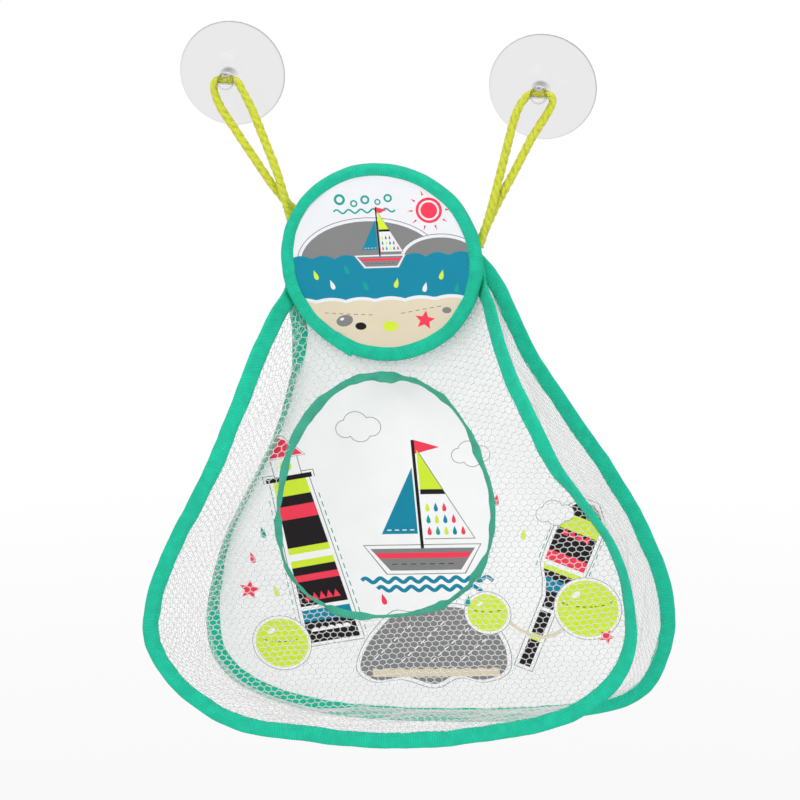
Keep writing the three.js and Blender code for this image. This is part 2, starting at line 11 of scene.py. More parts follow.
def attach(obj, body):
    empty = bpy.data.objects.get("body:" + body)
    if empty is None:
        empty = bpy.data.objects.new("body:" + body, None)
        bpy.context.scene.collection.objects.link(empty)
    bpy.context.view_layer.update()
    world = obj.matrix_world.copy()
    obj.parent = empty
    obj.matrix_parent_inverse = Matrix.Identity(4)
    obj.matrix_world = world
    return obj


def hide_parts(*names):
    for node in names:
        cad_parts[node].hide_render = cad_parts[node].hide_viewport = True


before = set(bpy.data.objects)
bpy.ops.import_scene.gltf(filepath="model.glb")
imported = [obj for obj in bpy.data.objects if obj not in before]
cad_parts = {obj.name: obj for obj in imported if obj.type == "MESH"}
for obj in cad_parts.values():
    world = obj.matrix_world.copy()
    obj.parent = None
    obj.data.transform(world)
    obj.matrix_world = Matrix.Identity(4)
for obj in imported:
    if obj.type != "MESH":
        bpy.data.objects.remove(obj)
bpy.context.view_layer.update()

bl_info = {
    "name": "Bath toy organizer",
    "version": (1, 0, 0),
    "blender": (4, 5, 0),
    "location": "3D View > Sidebar > Organizer",
    "description": "Builds the cloth, cords, cups and stage of a hanging bath toy organizer",
    "category": "Object",
}

MM = 0.001
TAU = 2 * math.pi

# Cord routes, from the sewn end in front, through the knob, to the sewn end behind
LEFT_ROUTE = [
    (-54.8, 0.15, -72.8), (-56, 0.15, -68.4), (-58.2, 0.1, -59.5), (-61.5, 0, -49),
    (-65.3, 0, -38.5), (-69.6, 0, -27), (-73.9, 0, -16), (-77.5, 0, -8.4), (-79.6, 0, -4.1),
    (-80.7, 0, -1.9), (-82, 0, -0.5), (-83.6, 0, 0), (-87.5, 0, 0), (-91.4, 0, 0),
    (-93.1, 0, -0.5), (-94.5, 0, -1.8), (-95.1, 0, -3.7), (-94.5, 0, -8.6), (-91.4, 0, -16.3),
    (-84.8, 0.3, -26.9), (-78.2, 0.9, -37.6), (-70.8, 2, -49.6), (-63.6, 3.6, -61.5),
    (-58.2, 4.8, -68.9), (-54.8, 4.95, -72.8),
]
RIGHT_ROUTE = [
    (57.4, 0.15, -81.5), (58.9, 0.15, -76.4), (62, 0.1, -64.5), (65.1, 0, -51.5),
    (68.2, 0, -38.5), (71.3, 0, -25), (74.4, 0, -13), (77.4, 0, -6), (79.5, 0, -3.2),
    (80.7, 0, -1.6), (82, 0, -0.4), (83.6, 0, 0), (87.5, 0, 0), (91.4, 0, 0), (93.1, 0, -0.6),
    (94.3, 0, -1.9), (94.9, 0, -3.8), (93.6, 0, -8), (89.2, 0, -15.8), (84, 0.2, -24.8),
    (79, 0.7, -35), (73.8, 1.6, -46), (67.9, 2.9, -58), (62.7, 4.3, -69), (57.4, 4.95, -81.5),
]

# Right side of each panel's edge, from the top to the foot, as shares: how far down it is of
# the drop, how far out of the half width, and how far to the right of the sway
FRONT_DROP, FRONT_HALF, FRONT_SWAY = 265, 140.6, 4.2
FRONT_SIDE = [
    (0.06, 0.412, 0), (0.087, 0.455, 0), (0.117, 0.485, 0), (0.155, 0.522, 0.05),
    (0.193, 0.56, 0.36), (0.232, 0.602, 0.75), (0.272, 0.642, 0.95), (0.316, 0.684, 1),
    (0.363, 0.728, 0.95), (0.417, 0.787, 0.92), (0.472, 0.85, 0.8), (0.526, 0.905, 0.7),
    (0.581, 0.949, 0.42), (0.638, 0.98, 0.05), (0.694, 0.998, -0.3), (0.751, 1, -0.35),
    (0.808, 0.967, -0.2), (0.868, 0.893, -0.1), (0.925, 0.766, -0.3), (0.951, 0.675, -0.6),
    (0.968, 0.57, -0.8), (0.984, 0.38, -0.3), (0.996, 0.19, 0), (1, 0, 0),
]
BACK_DROP, BACK_HALF, BACK_SWAY = 293, 139, 14
BACK_SIDE = [
    (-0.02, 0.0, 0), (-0.02, 0.158, 0), (-0.019, 0.286, 0), (-0.004, 0.384, 0.05),
    (0.02, 0.421, 0.12), (0.068, 0.457, 0.33), (0.116, 0.47, 0.56), (0.167, 0.487, 0.76),
    (0.216, 0.514, 0.94), (0.266, 0.558, 1.05), (0.317, 0.607, 1.15), (0.369, 0.663, 1.21),
    (0.42, 0.724, 1.21), (0.471, 0.784, 1.17), (0.522, 0.842, 1.11), (0.573, 0.893, 1.04),
    (0.626, 0.935, 1), (0.678, 0.97, 0.96), (0.73, 0.993, 0.9), (0.782, 1, 0.83),
    (0.835, 0.985, 0.78), (0.88, 0.945, 0.82), (0.914, 0.893, 0.96), (0.942, 0.82, 1.2),
    (0.968, 0.7, 1.5), (0.986, 0.53, 1.68), (0.997, 0.27, 1.75), (1, 0, 1.75),
]
MOUTH = [
    (-0.03, 1), (0.28, 0.965), (0.54, 0.9), (0.75, 0.76), (0.9, 0.525), (0.985, 0.3), (1, 0.06),
    (0.965, -0.178), (0.885, -0.42), (0.75, -0.65), (0.55, -0.825), (0.28, -0.95), (-0.04, -0.99),
    (-0.34, -0.985), (-0.6, -0.9), (-0.82, -0.745), (-0.95, -0.53), (-1, -0.2), (-0.99, 0.12),
    (-0.96, 0.37), (-0.895, 0.63), (-0.77, 0.82), (-0.6, 0.95), (-0.4, 1.01),
]
# The front edge's ends go on behind the head, on the right and on the left
RIGHT_END = [(49, 8), (56.4, -3.5)]
LEFT_END = [(-55.5, -3.5), (-51, 8)]
MOUTH_CENTRE = (3.9, -124.5)
MOUTH_HALF = (58.6, 56.7)

# How far the front tape leans, outer edge forwards, in degrees at heights from the head down
RIGHT_LEANS = [
    (-60, 0), (-82, 6), (-108, 42), (-140, 48), (-172, 46), (-205, 36), (-238, 18), (-262, 15),
]
LEFT_LEANS = [(-60, 0), (-100, 8), (-200, 10), (-262, 15)]
# The same for the left of the back tape, which the gusset draws forwards
BACK_LEANS = [(-38, 0), (-70, 74), (-165, 74), (-190, 58), (-215, 45), (-245, 30), (-278, 0)]

HEAD_RADIUS, PAD_RADIUS, HEAD_HALF = 57.5, 55.5, 3.35
TAPE_WIDTH, HEAD_TAPE_WIDTH, MOUTH_TAPE_HALF = 9, 7.4, 0.7
HEAD_MIDDLE_Y, NET_Y, BACK_Y = -5.75, -1.7, 1.4
# The front comes forward round the head, and is drawn back within this run of a leaning tape
FLARE_RADIUS, FLARE_RUN, FLARE_DEPTH = 58.3, 85, 84
SAG_RUN = 38
GUSSET_INSET, GUSSET_REACH, GUSSET_SAG = 8.4, 6.9, 3.0
POUCH_MIDDLE_Z = -132
LATTICE_Z = -150

# How the pouch hangs, the same as in the solids
CUP_X, HOLE_HEIGHT, HEAD_DROP = 87.5, 15, 100.3
WALL_GAP, BACK_TAPE_HALF = 0.5, 1.4
TILT = math.asin((HOLE_HEIGHT - WALL_GAP - BACK_Y - BACK_TAPE_HALF) / (HEAD_DROP + BACK_DROP))
HANG = Matrix.Translation((0, -HOLE_HEIGHT, 0)) @ Matrix.Rotation(TILT, 4, "X")
BAG = HANG @ Matrix.Translation((0, 0, -HEAD_DROP)) @ Matrix.Rotation(math.radians(-5), 4, "Y")


# Sizes and colours that a user would change

def number(name, text, value, low, high):
    return FloatProperty(name=name, description=text, default=value, min=low, max=high)


def millimetres(name, text, value, low, high):
    return number(name, text + ", in millimetres", value, low, high)


def colour_of(name, *value):
    return FloatVectorProperty(
        name=name, description="Colour of the " + name.lower(), default=value, min=0, max=1,
        subtype="COLOR",
    )


class CordSettings(bpy.types.PropertyGroup):
    """Lime cord of three twisted plies."""

    radius: millimetres("Radius", "Radius over the plies", 2.42, 1.5, 3)
    lay: millimetres("Lay", "Length of one full twist", 15.5, 8, 40)
    light: colour_of("Plies", 0.7, 0.74, 0.03)
    dark: colour_of("Painted valley shade", 0.46, 0.48, 0.013)


class TapeSettings(bpy.types.PropertyGroup):
    """Woven teal binding tape."""

    width: millimetres("Width", "Folded width", TAPE_WIDTH, 5, 14)
    head_width: millimetres("Head width", "Width round the head", HEAD_TAPE_WIDTH, 5, 12)
    mouth_width: millimetres("Mouth width", "Width round the mouth", 3.9, 2, 8)
    rib: millimetres("Rib pitch", "Distance between two ribs", 1.0, 0.5, 3)
    colour: colour_of("Wide tape", 0.008, 0.62, 0.39)
    mouth_colour: colour_of("Mouth's tape", 0.055, 0.43, 0.29)


class NetSettings(bpy.types.PropertyGroup):
    """White hexagonal net."""

    pitch: millimetres("Pitch", "Distance between two holes in a row", 4.6, 2, 10)
    squash: number("Squash", "Height of a hole, as a share of a regular hexagon's", 0.79, 0.4, 1.5)
    strand: millimetres("Strand", "Radius of a front strand", 0.29, 0.1, 0.8)
    gusset_strand: millimetres("Gusset strand", "Radius of a gusset strand", 0.21, 0.1, 0.8)
    turn: number("Turn", "Turn of the mesh of the front, in degrees", 2.5, -45, 45)
    sides: IntProperty(name="Sides", description="Sides of a strand", default=4, min=3, max=8)
    cover: number("Cover", "How much a thread hides what is behind it", 0.5, 0.3, 1)
    colour: colour_of("Net", 0.86, 0.85, 0.855)


class PrintSettings(bpy.types.PropertyGroup):
    """Colours of the printed covers."""

    white: colour_of("Head's ground", 0.84, 0.85, 0.885)
    # Lighter than the head's ground: partly the panel's own white, partly painted light against the
    # net's shade inside the pouch.
    panel: colour_of("Panel's ground with painted light", 0.97, 0.97, 0.972)
    grey: colour_of("Grey print", 0.235, 0.235, 0.235)
    blue: colour_of("Sea blue print", 0.007, 0.25, 0.38)
    sand: colour_of("Sand print", 0.77, 0.67, 0.5)
    coral: colour_of("Coral print", 0.95, 0.052, 0.1)
    lime: colour_of("Lime print", 0.68, 0.87, 0.045)
    ink: colour_of("Dark print", 0.012, 0.009, 0.011)
    teal: colour_of("Teal print", 0.01, 0.36, 0.3)


class CupSettings(bpy.types.PropertyGroup):
    """Clear suction cup."""

    steps: IntProperty(name="Steps", description="Steps round it", default=112, min=24, max=240)
    tint: colour_of("Clear plastic", 0.82, 0.82, 0.83)


SETTINGS = {
    "organizer_cord": CordSettings,
    "organizer_tape": TapeSettings,
    "organizer_net": NetSettings,
    "organizer_print": PrintSettings,
    "organizer_cup": CupSettings,
}


# Curves and outlines

def clamp(value, low=0, high=1):
    return min(high, max(low, value))


def ease(share):
    share = clamp(share)
    return share * share * (3 - 2 * share)


def polar(reach, turn):
    return reach * math.cos(turn), reach * math.sin(turn)


def full_turn(steps):
    return [TAU * i / steps for i in range(steps)]


def running_lengths(points, closed, start=0.0):
    lengths = [start]
    for i in range(1, len(points) + closed):
        lengths.append(lengths[-1] + (points[i % len(points)] - points[i - 1]).length)
    return lengths


def centripetal(near, knots, t):
    level = near
    for spans in (((0, 1), (1, 2), (2, 3)), ((0, 2), (1, 3)), ((1, 2),)):
        level = [level[i].lerp(level[i + 1], (t - knots[low]) / (knots[high] - knots[low]))
                 for i, (low, high) in enumerate(spans)]
    return level[0]


def smooth_points(points, closed, step, fineness=24):
    """Points of a smooth curve through the given ones, a step apart."""
    spots = [Vector(p) for p in points]
    count = len(spots)
    fine = []
    for i in range(count if closed else count - 1):
        near = [spots[(i + k) % count if closed else clamp(i + k, 0, count - 1)]
                for k in (-1, 0, 1, 2)]
        knots = [0.0]
        for a, b in zip(near, near[1:]):
            knots.append(knots[-1] + max((b - a).length, 1e-6) ** 0.5)
        fine += [centripetal(near, knots, knots[1] + (knots[2] - knots[1]) * j / fineness)
                 for j in range(fineness)]
    fine.append(spots[0] if closed else spots[-1])
    lengths = running_lengths(fine, False)
    steps = max(2, round(lengths[-1] / step))
    even = []
    at = 0
    for i in range(steps if closed else steps + 1):
        goal = lengths[-1] * i / steps
        while at < len(lengths) - 2 and lengths[at + 1] < goal:
            at += 1
        share = (goal - lengths[at]) / max(lengths[at + 1] - lengths[at], 1e-9)
        even.append(fine[at].lerp(fine[at + 1], clamp(share)))
    return even


def both_sides(shares, half, drop, sway):
    """Both sides of a panel's edge, from the top down the right side and up the left."""
    right, left = ([(side * out * half + shift * sway, -down * drop) for down, out, shift in shares]
                   for side in (1, -1))
    return right + left[-2::-1]


def flat_edge(points, closed, step):
    return [Vector((p.x, p.y)) for p in smooth_points([(x, z, 0) for x, z in points], closed, step)]


def across_edge(edge, closed):
    """Unit directions into the cloth, which lies to the right of the edge's run."""
    found = []
    for i in range(len(edge)):
        after = edge[(i + 1) % len(edge)] if closed else edge[min(i + 1, len(edge) - 1)]
        before = edge[i - 1] if closed or i else edge[0]
        along = (after - before).normalized()
        found.append(Vector((along.y, -along.x)))
    return found


def from_table(table, at):
    """Reads a table of falling heights and their values."""
    for (high, first), (low, second) in zip(table, table[1:]):
        if at >= low:
            return first + (second - first) * clamp((high - at) / (high - low))
    return table[-1][1]


def tape_lean(x, z):
    return math.radians(from_table(RIGHT_LEANS if x > 0 else LEFT_LEANS, z))


def back_lean(x, z):
    return math.radians(from_table(BACK_LEANS, z)) if x < 0 and z < BACK_LEANS[0][0] else 0.0


def cloth_edge(points, closed, step, lean):
    """An edge, and steps into the cloth that are shorter where the tape leans."""
    edge = flat_edge(points, closed, step)
    return edge, [a * math.cos(lean(*p)) for p, a in zip(edge, across_edge(edge, closed))]


def front_edge(step):
    sides = both_sides(FRONT_SIDE, FRONT_HALF, FRONT_DROP, FRONT_SWAY)
    return cloth_edge(RIGHT_END + sides + LEFT_END, False, step, tape_lean)


def back_edge(step):
    sides = both_sides(BACK_SIDE, BACK_HALF, BACK_DROP, BACK_SWAY)
    return cloth_edge(sides[:-1], True, step, back_lean)


def mouth_edge(step):
    points = [[c + share * half for c, share, half in zip(MOUTH_CENTRE, spot, MOUTH_HALF)]
              for spot in reversed(MOUTH)]
    return cloth_edge(points, True, step, lambda x, z: 0)


def inset(edge, reach):
    return [p + a * reach for p, a in zip(*edge)]


# Surfaces: a place in a panel's plane and a distance behind it give a point of the bag

def slack(x, z, *waves):
    """Soft unevenness: each wave has a height, a size and a seed."""
    return sum(height * noise.noise(Vector((x / size, z / size, seed)))
               for height, size, seed in waves)


def flare(radius):
    """How far the front has come forward at a distance from the head's middle, and how steeply."""
    left = max(0, 1 - max(0, radius - FLARE_RADIUS) / FLARE_RUN)
    return FLARE_DEPTH * (1 - left * left), 2 * FLARE_DEPTH * left / FLARE_RUN


def spot_tree(spots):
    tree = kdtree.KDTree(len(spots))
    for i, spot in enumerate(spots):
        tree.insert((spot.x, spot.y, 0), i)
    tree.balance()
    return tree


FRONT_EDGE_TREE = spot_tree(front_edge(1)[0])
BACK_EDGE_TREE = spot_tree(back_edge(1)[0])


def edge_sag(x, z):
    """The cloth is drawn back behind its leaning tape, and comes forward again."""
    spot, _, away = FRONT_EDGE_TREE.find((x, z, 0))
    lean = tape_lean(spot.x, spot.y)
    width = TAPE_WIDTH * math.cos(lean)
    if away < width:
        return math.tan(lean) * away
    return TAPE_WIDTH * math.sin(lean) * (1 - ease((away - width) / SAG_RUN))


def front_depth(x, z):
    radius = math.hypot(x, z)
    waves = clamp((radius - FLARE_RADIUS) / 40) * slack(x, z, (1.5, 46, 3.1), (0.5, 17, 8.7))
    behind_head = 0.9 * clamp((FLARE_RADIUS + 1 - radius) / 3)
    return flare(radius)[0] + waves - edge_sag(x, z) - behind_head


def back_depth(x, z):
    """How far the back stands forward: its left tape rises from the panel where it leans."""
    spot, _, away = BACK_EDGE_TREE.find((x, z, 0))
    lean = back_lean(spot.x, spot.y)
    rise = TAPE_WIDTH * math.sin(lean) - math.tan(lean) * away
    return max(0, rise) - slack(x, z, (0.5, 60, 1.3), (0.2, 21, 5.9)) * clamp(-z / 60)


def off_surface(depth, level, x, z, behind, reach=0.6):
    slope_x = (depth(x + reach, z) - depth(x - reach, z)) / (2 * reach)
    slope_z = (depth(x, z + reach) - depth(x, z - reach)) / (2 * reach)
    normal = Vector((slope_x, 1, slope_z)).normalized()
    return Vector((x, level - depth(x, z), z)) + normal * behind


def front_place(x, z, behind=0.0):
    return off_surface(front_depth, NET_Y, x, z, behind)


def back_place(x, z, behind=0.0):
    """A place on the back. The tape is pressed flat where it leans."""
    spot, _, _ = BACK_EDGE_TREE.find((x, z, 0))
    pressed = 1 - 0.55 * math.sin(back_lean(spot.x, spot.y))
    return off_surface(back_depth, BACK_Y, x, z, behind * pressed)


def head_place(x, z, behind):
    return Vector((x, HEAD_MIDDLE_Y + behind, z))


# Meshes and objects

def new_object(name, mesh, matrix=None):
    if matrix is not None:
        mesh.transform(Matrix.Scale(MM, 4) @ matrix)
    mesh.validate()
    mesh.update()
    piece = bpy.data.objects.new(name, mesh)
    bpy.context.scene.collection.objects.link(piece)
    return piece


def mesh_from(name, spots, faces, edges=()):
    mesh = bpy.data.meshes.new(name)
    mesh.from_pydata([tuple(s) for s in spots], list(edges), faces)
    return mesh


def face_outwards(mesh):
    work = bmesh.new()
    work.from_mesh(mesh)
    bmesh.ops.recalc_face_normals(work, faces=work.faces)
    work.to_mesh(mesh)
    work.free()


def smooth(mesh, angle=None):
    mesh.polygons.foreach_set("use_smooth", [True] * len(mesh.polygons))
    if angle is not None:
        mesh.set_sharp_from_angle(angle=math.radians(angle))


def point_values(mesh, name, values):
    mesh.attributes.new(name, "FLOAT", "POINT").data.foreach_set("value", values)


def ring_mesh(name, rings, closed, lengths, girths):
    """A tube of rings. Its UV map holds millimetres along it and round it."""
    count, last = len(rings[0]), len(rings) - 1
    faces, marks = [], []
    for i in range(last + closed):
        here, after = i * count, (i + 1) % (last + 1) * count
        for j in range(count):
            k = (j + 1) % count
            faces.append((here + j, here + k, after + k, after + j))
            marks += [(lengths[i + m], girths[j + n]) for m, n in ((0, 0), (0, 1), (1, 1), (1, 0))]
    if not closed:
        faces += [tuple(reversed(range(count))), tuple(range(last * count, (last + 1) * count))]
        marks += [(lengths[0], girth) for girth in reversed(girths[:count])]
        marks += [(lengths[-1], girth) for girth in girths[:count]]
    mesh = mesh_from(name, [spot for ring in rings for spot in ring], faces)
    for loop, mark in zip(mesh.uv_layers.new(name="cloth").uv, marks):
        loop.vector = mark
    face_outwards(mesh)
    smooth(mesh)
    return mesh


def lathe_mesh(name, profile, steps):
    """A turned solid about the Y axis. Heights of the profile stand towards the viewer."""
    inner = [p for p in profile if p[0] > 0]
    spots = [(0, -profile[0][1], 0)]
    for turn in full_turn(steps):
        spots += [(r * math.cos(turn), -h, r * math.sin(turn)) for r, h in inner]
    spots.append((0, -profile[-1][1], 0))
    count = len(inner)
    faces = []
    for i in range(steps):
        here, after = 1 + i * count, 1 + (i + 1) % steps * count
        faces.append((0, here, after))
        faces += [(here + j, here + j + 1, after + j + 1, after + j) for j in range(count - 1)]
        faces.append((here + count - 1, len(spots) - 1, after + count - 1))
    mesh = mesh_from(name, spots, faces)
    face_outwards(mesh)
    return mesh


def plain_mesh(piece):
    graph = bpy.context.evaluated_depsgraph_get()
    graph.update()
    return bpy.data.meshes.new_from_object(piece.evaluated_get(graph), depsgraph=graph)


def join_objects(pieces, name):
    work = bmesh.new()
    for piece in pieces:
        work.from_mesh(piece.data)
    mesh = bpy.data.meshes.new(name)
    work.to_mesh(mesh)
    work.free()
    for piece in pieces:
        bpy.data.objects.remove(piece)
    smooth(mesh)
    return new_object(name, mesh)


def finish_piece(piece, body, slot, material, *nodes):
    piece.data.materials.clear()
    piece.data.materials.append(material)
    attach(piece, body)
    if nodes:
        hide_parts(*nodes)


# Nodes and materials

def plug(node, inputs):
    """Sets inputs of a node, each to a value or to another node's output."""
    for key, value in inputs.items():
        if isinstance(value, bpy.types.NodeSocket):
            node.id_data.links.new(value, node.inputs[key])
        else:
            node.inputs[key].default_value = value


def add_node(tree, kind, inputs, **settings):
    node = tree.nodes.new(kind)
    for key, value in settings.items():
        setattr(node, key, value)
    plug(node, inputs)
    return node


def new_material(name, colour, roughness):
    material = bpy.data.materials.new(name)
    material.use_nodes = True
    shader = material.node_tree.nodes["Principled BSDF"]
    plug(shader, {"Base Color": (*colour, 1), "Roughness": roughness})
    return material, material.node_tree, shader


def toned(colour, share):
    return [c * share for c in colour]


def colour_mix(tree, factor, first, second, **settings):
    first, second = (value if isinstance(value, bpy.types.NodeSocket) else (*value, 1)
                     for value in (first, second))
    inputs = {"Factor": factor, 6: first, 7: second}
    return add_node(tree, "ShaderNodeMix", inputs, data_type="RGBA", **settings).outputs[2]


def bump(tree, height, strength, distance, **after):
    inputs = {"Height": height, "Strength": strength, "Distance": distance * MM, **after}
    return add_node(tree, "ShaderNodeBump", inputs).outputs["Normal"]


def ramp(tree, source, low, high, start=0.0):
    inputs = {"Value": source, "From Min": low, "From Max": high, "To Min": start}
    return add_node(tree, "ShaderNodeMapRange", inputs).outputs["Result"]


def object_noise(tree, scale, detail=3.0):
    place = add_node(tree, "ShaderNodeTexCoord", {})
    inputs = {"Vector": place.outputs["Object"], "Scale": scale, "Detail": detail}
    return add_node(tree, "ShaderNodeTexNoise", inputs).outputs["Fac"]


def uneven(tree, scale, low, high, first, second):
    return colour_mix(tree, ramp(tree, object_noise(tree, scale), low, high), first, second)


def attribute(tree, name, output):
    return add_node(tree, "ShaderNodeAttribute", {}, attribute_name=name).outputs[output]


def cloth_waves(tree, pitch_along, pitch_round):
    """Two wave patterns on the UV map, which is in millimetres."""
    uv = add_node(tree, "ShaderNodeUVMap", {}, uv_map="cloth").outputs["UV"]
    found = []
    for direction, pitch in (("X", pitch_along), ("Y", pitch_round)):
        inputs = {"Vector": uv, "Scale": TAU / 20 / pitch, "Distortion": 0.4, "Detail": 1}
        wave = add_node(tree, "ShaderNodeTexWave", inputs, bands_direction=direction)
        found.append(wave.outputs["Fac"])
    return found


def tape_material(settings, colour):
    """Teal tape with fine ribs across it, shade painted between the ribs, and a slightly uneven
    dye.
    """
    material, tree, shader = new_material("teal_tape", colour, 0.72)
    ribs, threads = cloth_waves(tree, settings.rib, 0.55)
    ground = uneven(tree, 180, 0.35, 0.7, toned(colour, 0.86), toned(colour, 1.12))
    plug(shader, {
        # Painted shade: the colour darkens between the ribs, where the bump is low.
        "Base Color": colour_mix(tree, ramp(tree, ribs, 0.1, 0.8), toned(colour, 0.72), ground),
        "Sheen Weight": 0.06, "Sheen Roughness": 0.5, "Specular IOR Level": 0.25,
        "Normal": bump(tree, ribs, 0.7, 0.25, Normal=bump(tree, threads, 0.25, 0.12)),
    })
    return material


def net_material(settings):
    """Fine clear white thread, which lets some of what is behind it show through."""
    material, tree, shader = new_material("white_net", settings.colour, 0.55)
    bright = [min(1, c) for c in toned(settings.colour, 1.06)]
    ground = uneven(tree, 420, 0.3, 0.7, toned(settings.colour, 0.9), bright)
    plug(shader, {"Base Color": ground, "Alpha": settings.cover, "Sheen Weight": 0.2})
    return material


def printed_material(name):
    """Smooth coated cloth whose print is held in a colour attribute."""
    material, tree, shader = new_material(name, (0.9, 0.9, 0.9), 0.55)
    shade = uneven(tree, 60, 0.3, 0.75, (0.965, 0.965, 0.97), (1, 1, 1))
    ink = attribute(tree, "print", "Color")
    soft = bump(tree, object_noise(tree, 45, 2), 0.25, 2.5)
    plug(shader, {
        "Base Color": colour_mix(tree, 1, ink, shade, blend_type="MULTIPLY"),
        "Specular IOR Level": 0.16,
        "Normal": bump(tree, object_noise(tree, 1400, 1), 0.2, 0.12, Normal=soft),
    })
    return material


def cord_material(settings):
    """Lime cord with fine fibres along each ply. Shade is painted into its colour between the plies
    and in the grooves of the fibres.
    """
    material, tree, shader = new_material("lime_cord", settings.light, 0.7)
    fibres, _ = cloth_waves(tree, 0.55, 0.5)
    tone = colour_mix(tree, attribute(tree, "valley", "Fac"), settings.light, settings.dark)
    # Painted shade and light: the fibres are darker in their grooves and lighter on their ridges.
    fibre_tone = colour_mix(tree, ramp(tree, fibres, 0, 1), (0.78, 0.78, 0.72), (1.1, 1.1, 1.0))
    plug(shader, {
        "Base Color": colour_mix(tree, 1, tone, fibre_tone, blend_type="MULTIPLY"),
        "Sheen Weight": 0.3, "Normal": bump(tree, fibres, 0.5, 0.2),
    })
    return material


def cup_material(settings):
    """Clear soft plastic, with shade painted into its colour on the rim and the knob by the tone
    attribute.
    """
    material, tree, shader = new_material("clear_cup", settings.tint, 0.05)
    tone = attribute(tree, "tone", "Fac")
    plug(shader, {
        # Painted shade: the tone attribute darkens the tint towards a dark copy of it.
        "Base Color": colour_mix(tree, tone, settings.tint, toned(settings.tint, 0.22)),
        "Transmission Weight": 1, "IOR": 1.2,
        "Normal": bump(tree, object_noise(tree, 60, 1), 0.06, 0.4),
    })
    return material


def thread_material():
    material, tree, shader = new_material("teal_thread", (0.03, 0.58, 0.4), 0.6)
    ground = uneven(tree, 900, 0.3, 0.7, (0.02, 0.46, 0.31), (0.05, 0.66, 0.47))
    plug(shader, {"Base Color": ground})
    return material


def backing_material():
    material, tree, shader = new_material("white_backing", (0.86, 0.87, 0.88), 0.7)
    weave = object_noise(tree, 1200, 2)
    ground = colour_mix(tree, ramp(tree, weave, 0.3, 0.7), (0.78, 0.79, 0.8), (0.88, 0.89, 0.9))
    plug(shader, {"Base Color": ground, "Normal": bump(tree, weave, 0.3, 0.2)})
    return material


# Geometry node trees

def new_tree(name, numbers):
    """A tree that takes a geometry and some named numbers, and the outputs of its input node."""
    tree = bpy.data.node_groups.new(name, "GeometryNodeTree")
    for label, kind in {"Geometry": "Geometry", **numbers}.items():
        tree.interface.new_socket(label, in_out="INPUT", socket_type="NodeSocket" + kind)
    tree.interface.new_socket("Geometry", in_out="OUTPUT", socket_type="NodeSocketGeometry")
    return tree, tree.nodes.new("NodeGroupInput").outputs


def end_tree(tree, made, material):
    for kind in ("SetShadeSmooth", "RealizeInstances", "SetMaterial"):
        node = add_node(tree, "GeometryNode" + kind, {"Geometry": made})
        made = node.outputs["Geometry"]
    plug(node, {"Material": material})
    add_node(tree, "NodeGroupOutput", {"Geometry": made})
    return tree


def strand_tree(material):
    """Turns each edge of a net into a strand."""
    tree, given = new_tree("Net strands", {"Strand radius": "Float", "Sides": "Int"})
    curve = add_node(tree, "GeometryNodeMeshToCurve", {"Mesh": given["Geometry"]})
    round_section = add_node(tree, "GeometryNodeCurvePrimitiveCircle", {
        "Radius": given["Strand radius"], "Resolution": given["Sides"],
    })
    tube = add_node(tree, "GeometryNodeCurveToMesh", {
        "Curve": curve.outputs["Curve"], "Profile Curve": round_section.outputs["Curve"],
        "Fill Caps": True,
    })
    return end_tree(tree, tube.outputs["Mesh"], material)


def stitch_tree(material):
    """Puts a short thread on every step of a line, along the line."""
    sizes = ("Stitch length", "Stitch pitch", "Thread radius")
    tree, given = new_tree("Stitches", dict.fromkeys(sizes, "Float"))
    curve = add_node(tree, "GeometryNodeMeshToCurve", {"Mesh": given["Geometry"]})
    spaced = add_node(tree, "GeometryNodeCurveToPoints", {
        "Curve": curve.outputs["Curve"], "Length": given["Stitch pitch"],
    }, mode="LENGTH")
    thread = add_node(tree, "GeometryNodeMeshCylinder", {
        "Vertices": 6, "Radius": given["Thread radius"], "Depth": given["Stitch length"],
    }, fill_type="TRIANGLE_FAN")
    copies = add_node(tree, "GeometryNodeInstanceOnPoints", {
        "Points": spaced.outputs["Points"], "Rotation": spaced.outputs["Rotation"],
        "Instance": thread.outputs["Mesh"],
    })
    return end_tree(tree, copies.outputs["Instances"], material)


def grow(piece, tree, values):
    """Runs a node tree on a piece and keeps the result as its plain mesh."""
    modifier = piece.modifiers.new(tree.name, "NODES")
    modifier.node_group = tree
    for item in tree.interface.items_tree:
        if item.name in values:
            modifier[item.identifier] = values[item.name]
    mesh = plain_mesh(piece)
    piece.modifiers.clear()
    old = piece.data
    piece.data = mesh
    bpy.data.meshes.remove(old)


# Cords

CORD_SIDES = 36


def make_cord(name, path, start, settings):
    """A cord of three twisted plies along a path, thinner in the knob, and where its twist ends."""
    lengths = running_lengths(path, False, start)
    beyond = path[:1] + path + path[-1:]
    rings, painted_ply_shades = [], []
    for spot, before, after, run in zip(path, beyond, beyond[2:], lengths):
        along = (after - before).normalized()
        side = along.cross(Vector((0, 1, 0))).normalized()
        rise = side.cross(along)
        tight = settings.radius * (1 - 0.09 * clamp((spot.z + 14) / 5))
        ring = []
        for turn in full_turn(CORD_SIDES):
            c, s = math.cos(turn), math.sin(turn)
            lobe = abs(math.cos(1.5 * (turn - TAU * run / settings.lay))) ** 0.75
            fuzz = noise.noise(Vector((2.4 * c, 2.4 * s, run / 0.9)))
            lump = noise.noise(Vector((c, s, run / 2.4 + 40)))
            reach = tight * (0.84 + 0.16 * lobe + 0.1 * fuzz + 0.12 * lump)
            ring.append(spot + (side * c + rise * s) * reach)
            # Painted shade: darkest between the plies, lighter on the lumps, varied by the fuzz.
            painted_ply_shades.append(clamp(0.7 - lobe + 0.7 * fuzz - 0.8 * lump))
        rings.append(ring)
    girths = [TAU * settings.radius * j / CORD_SIDES for j in range(CORD_SIDES + 1)]
    mesh = ring_mesh(name, rings, False, lengths, girths)
    point_values(mesh, "valley", painted_ply_shades)
    return new_object(name, mesh, HANG), lengths[-1]


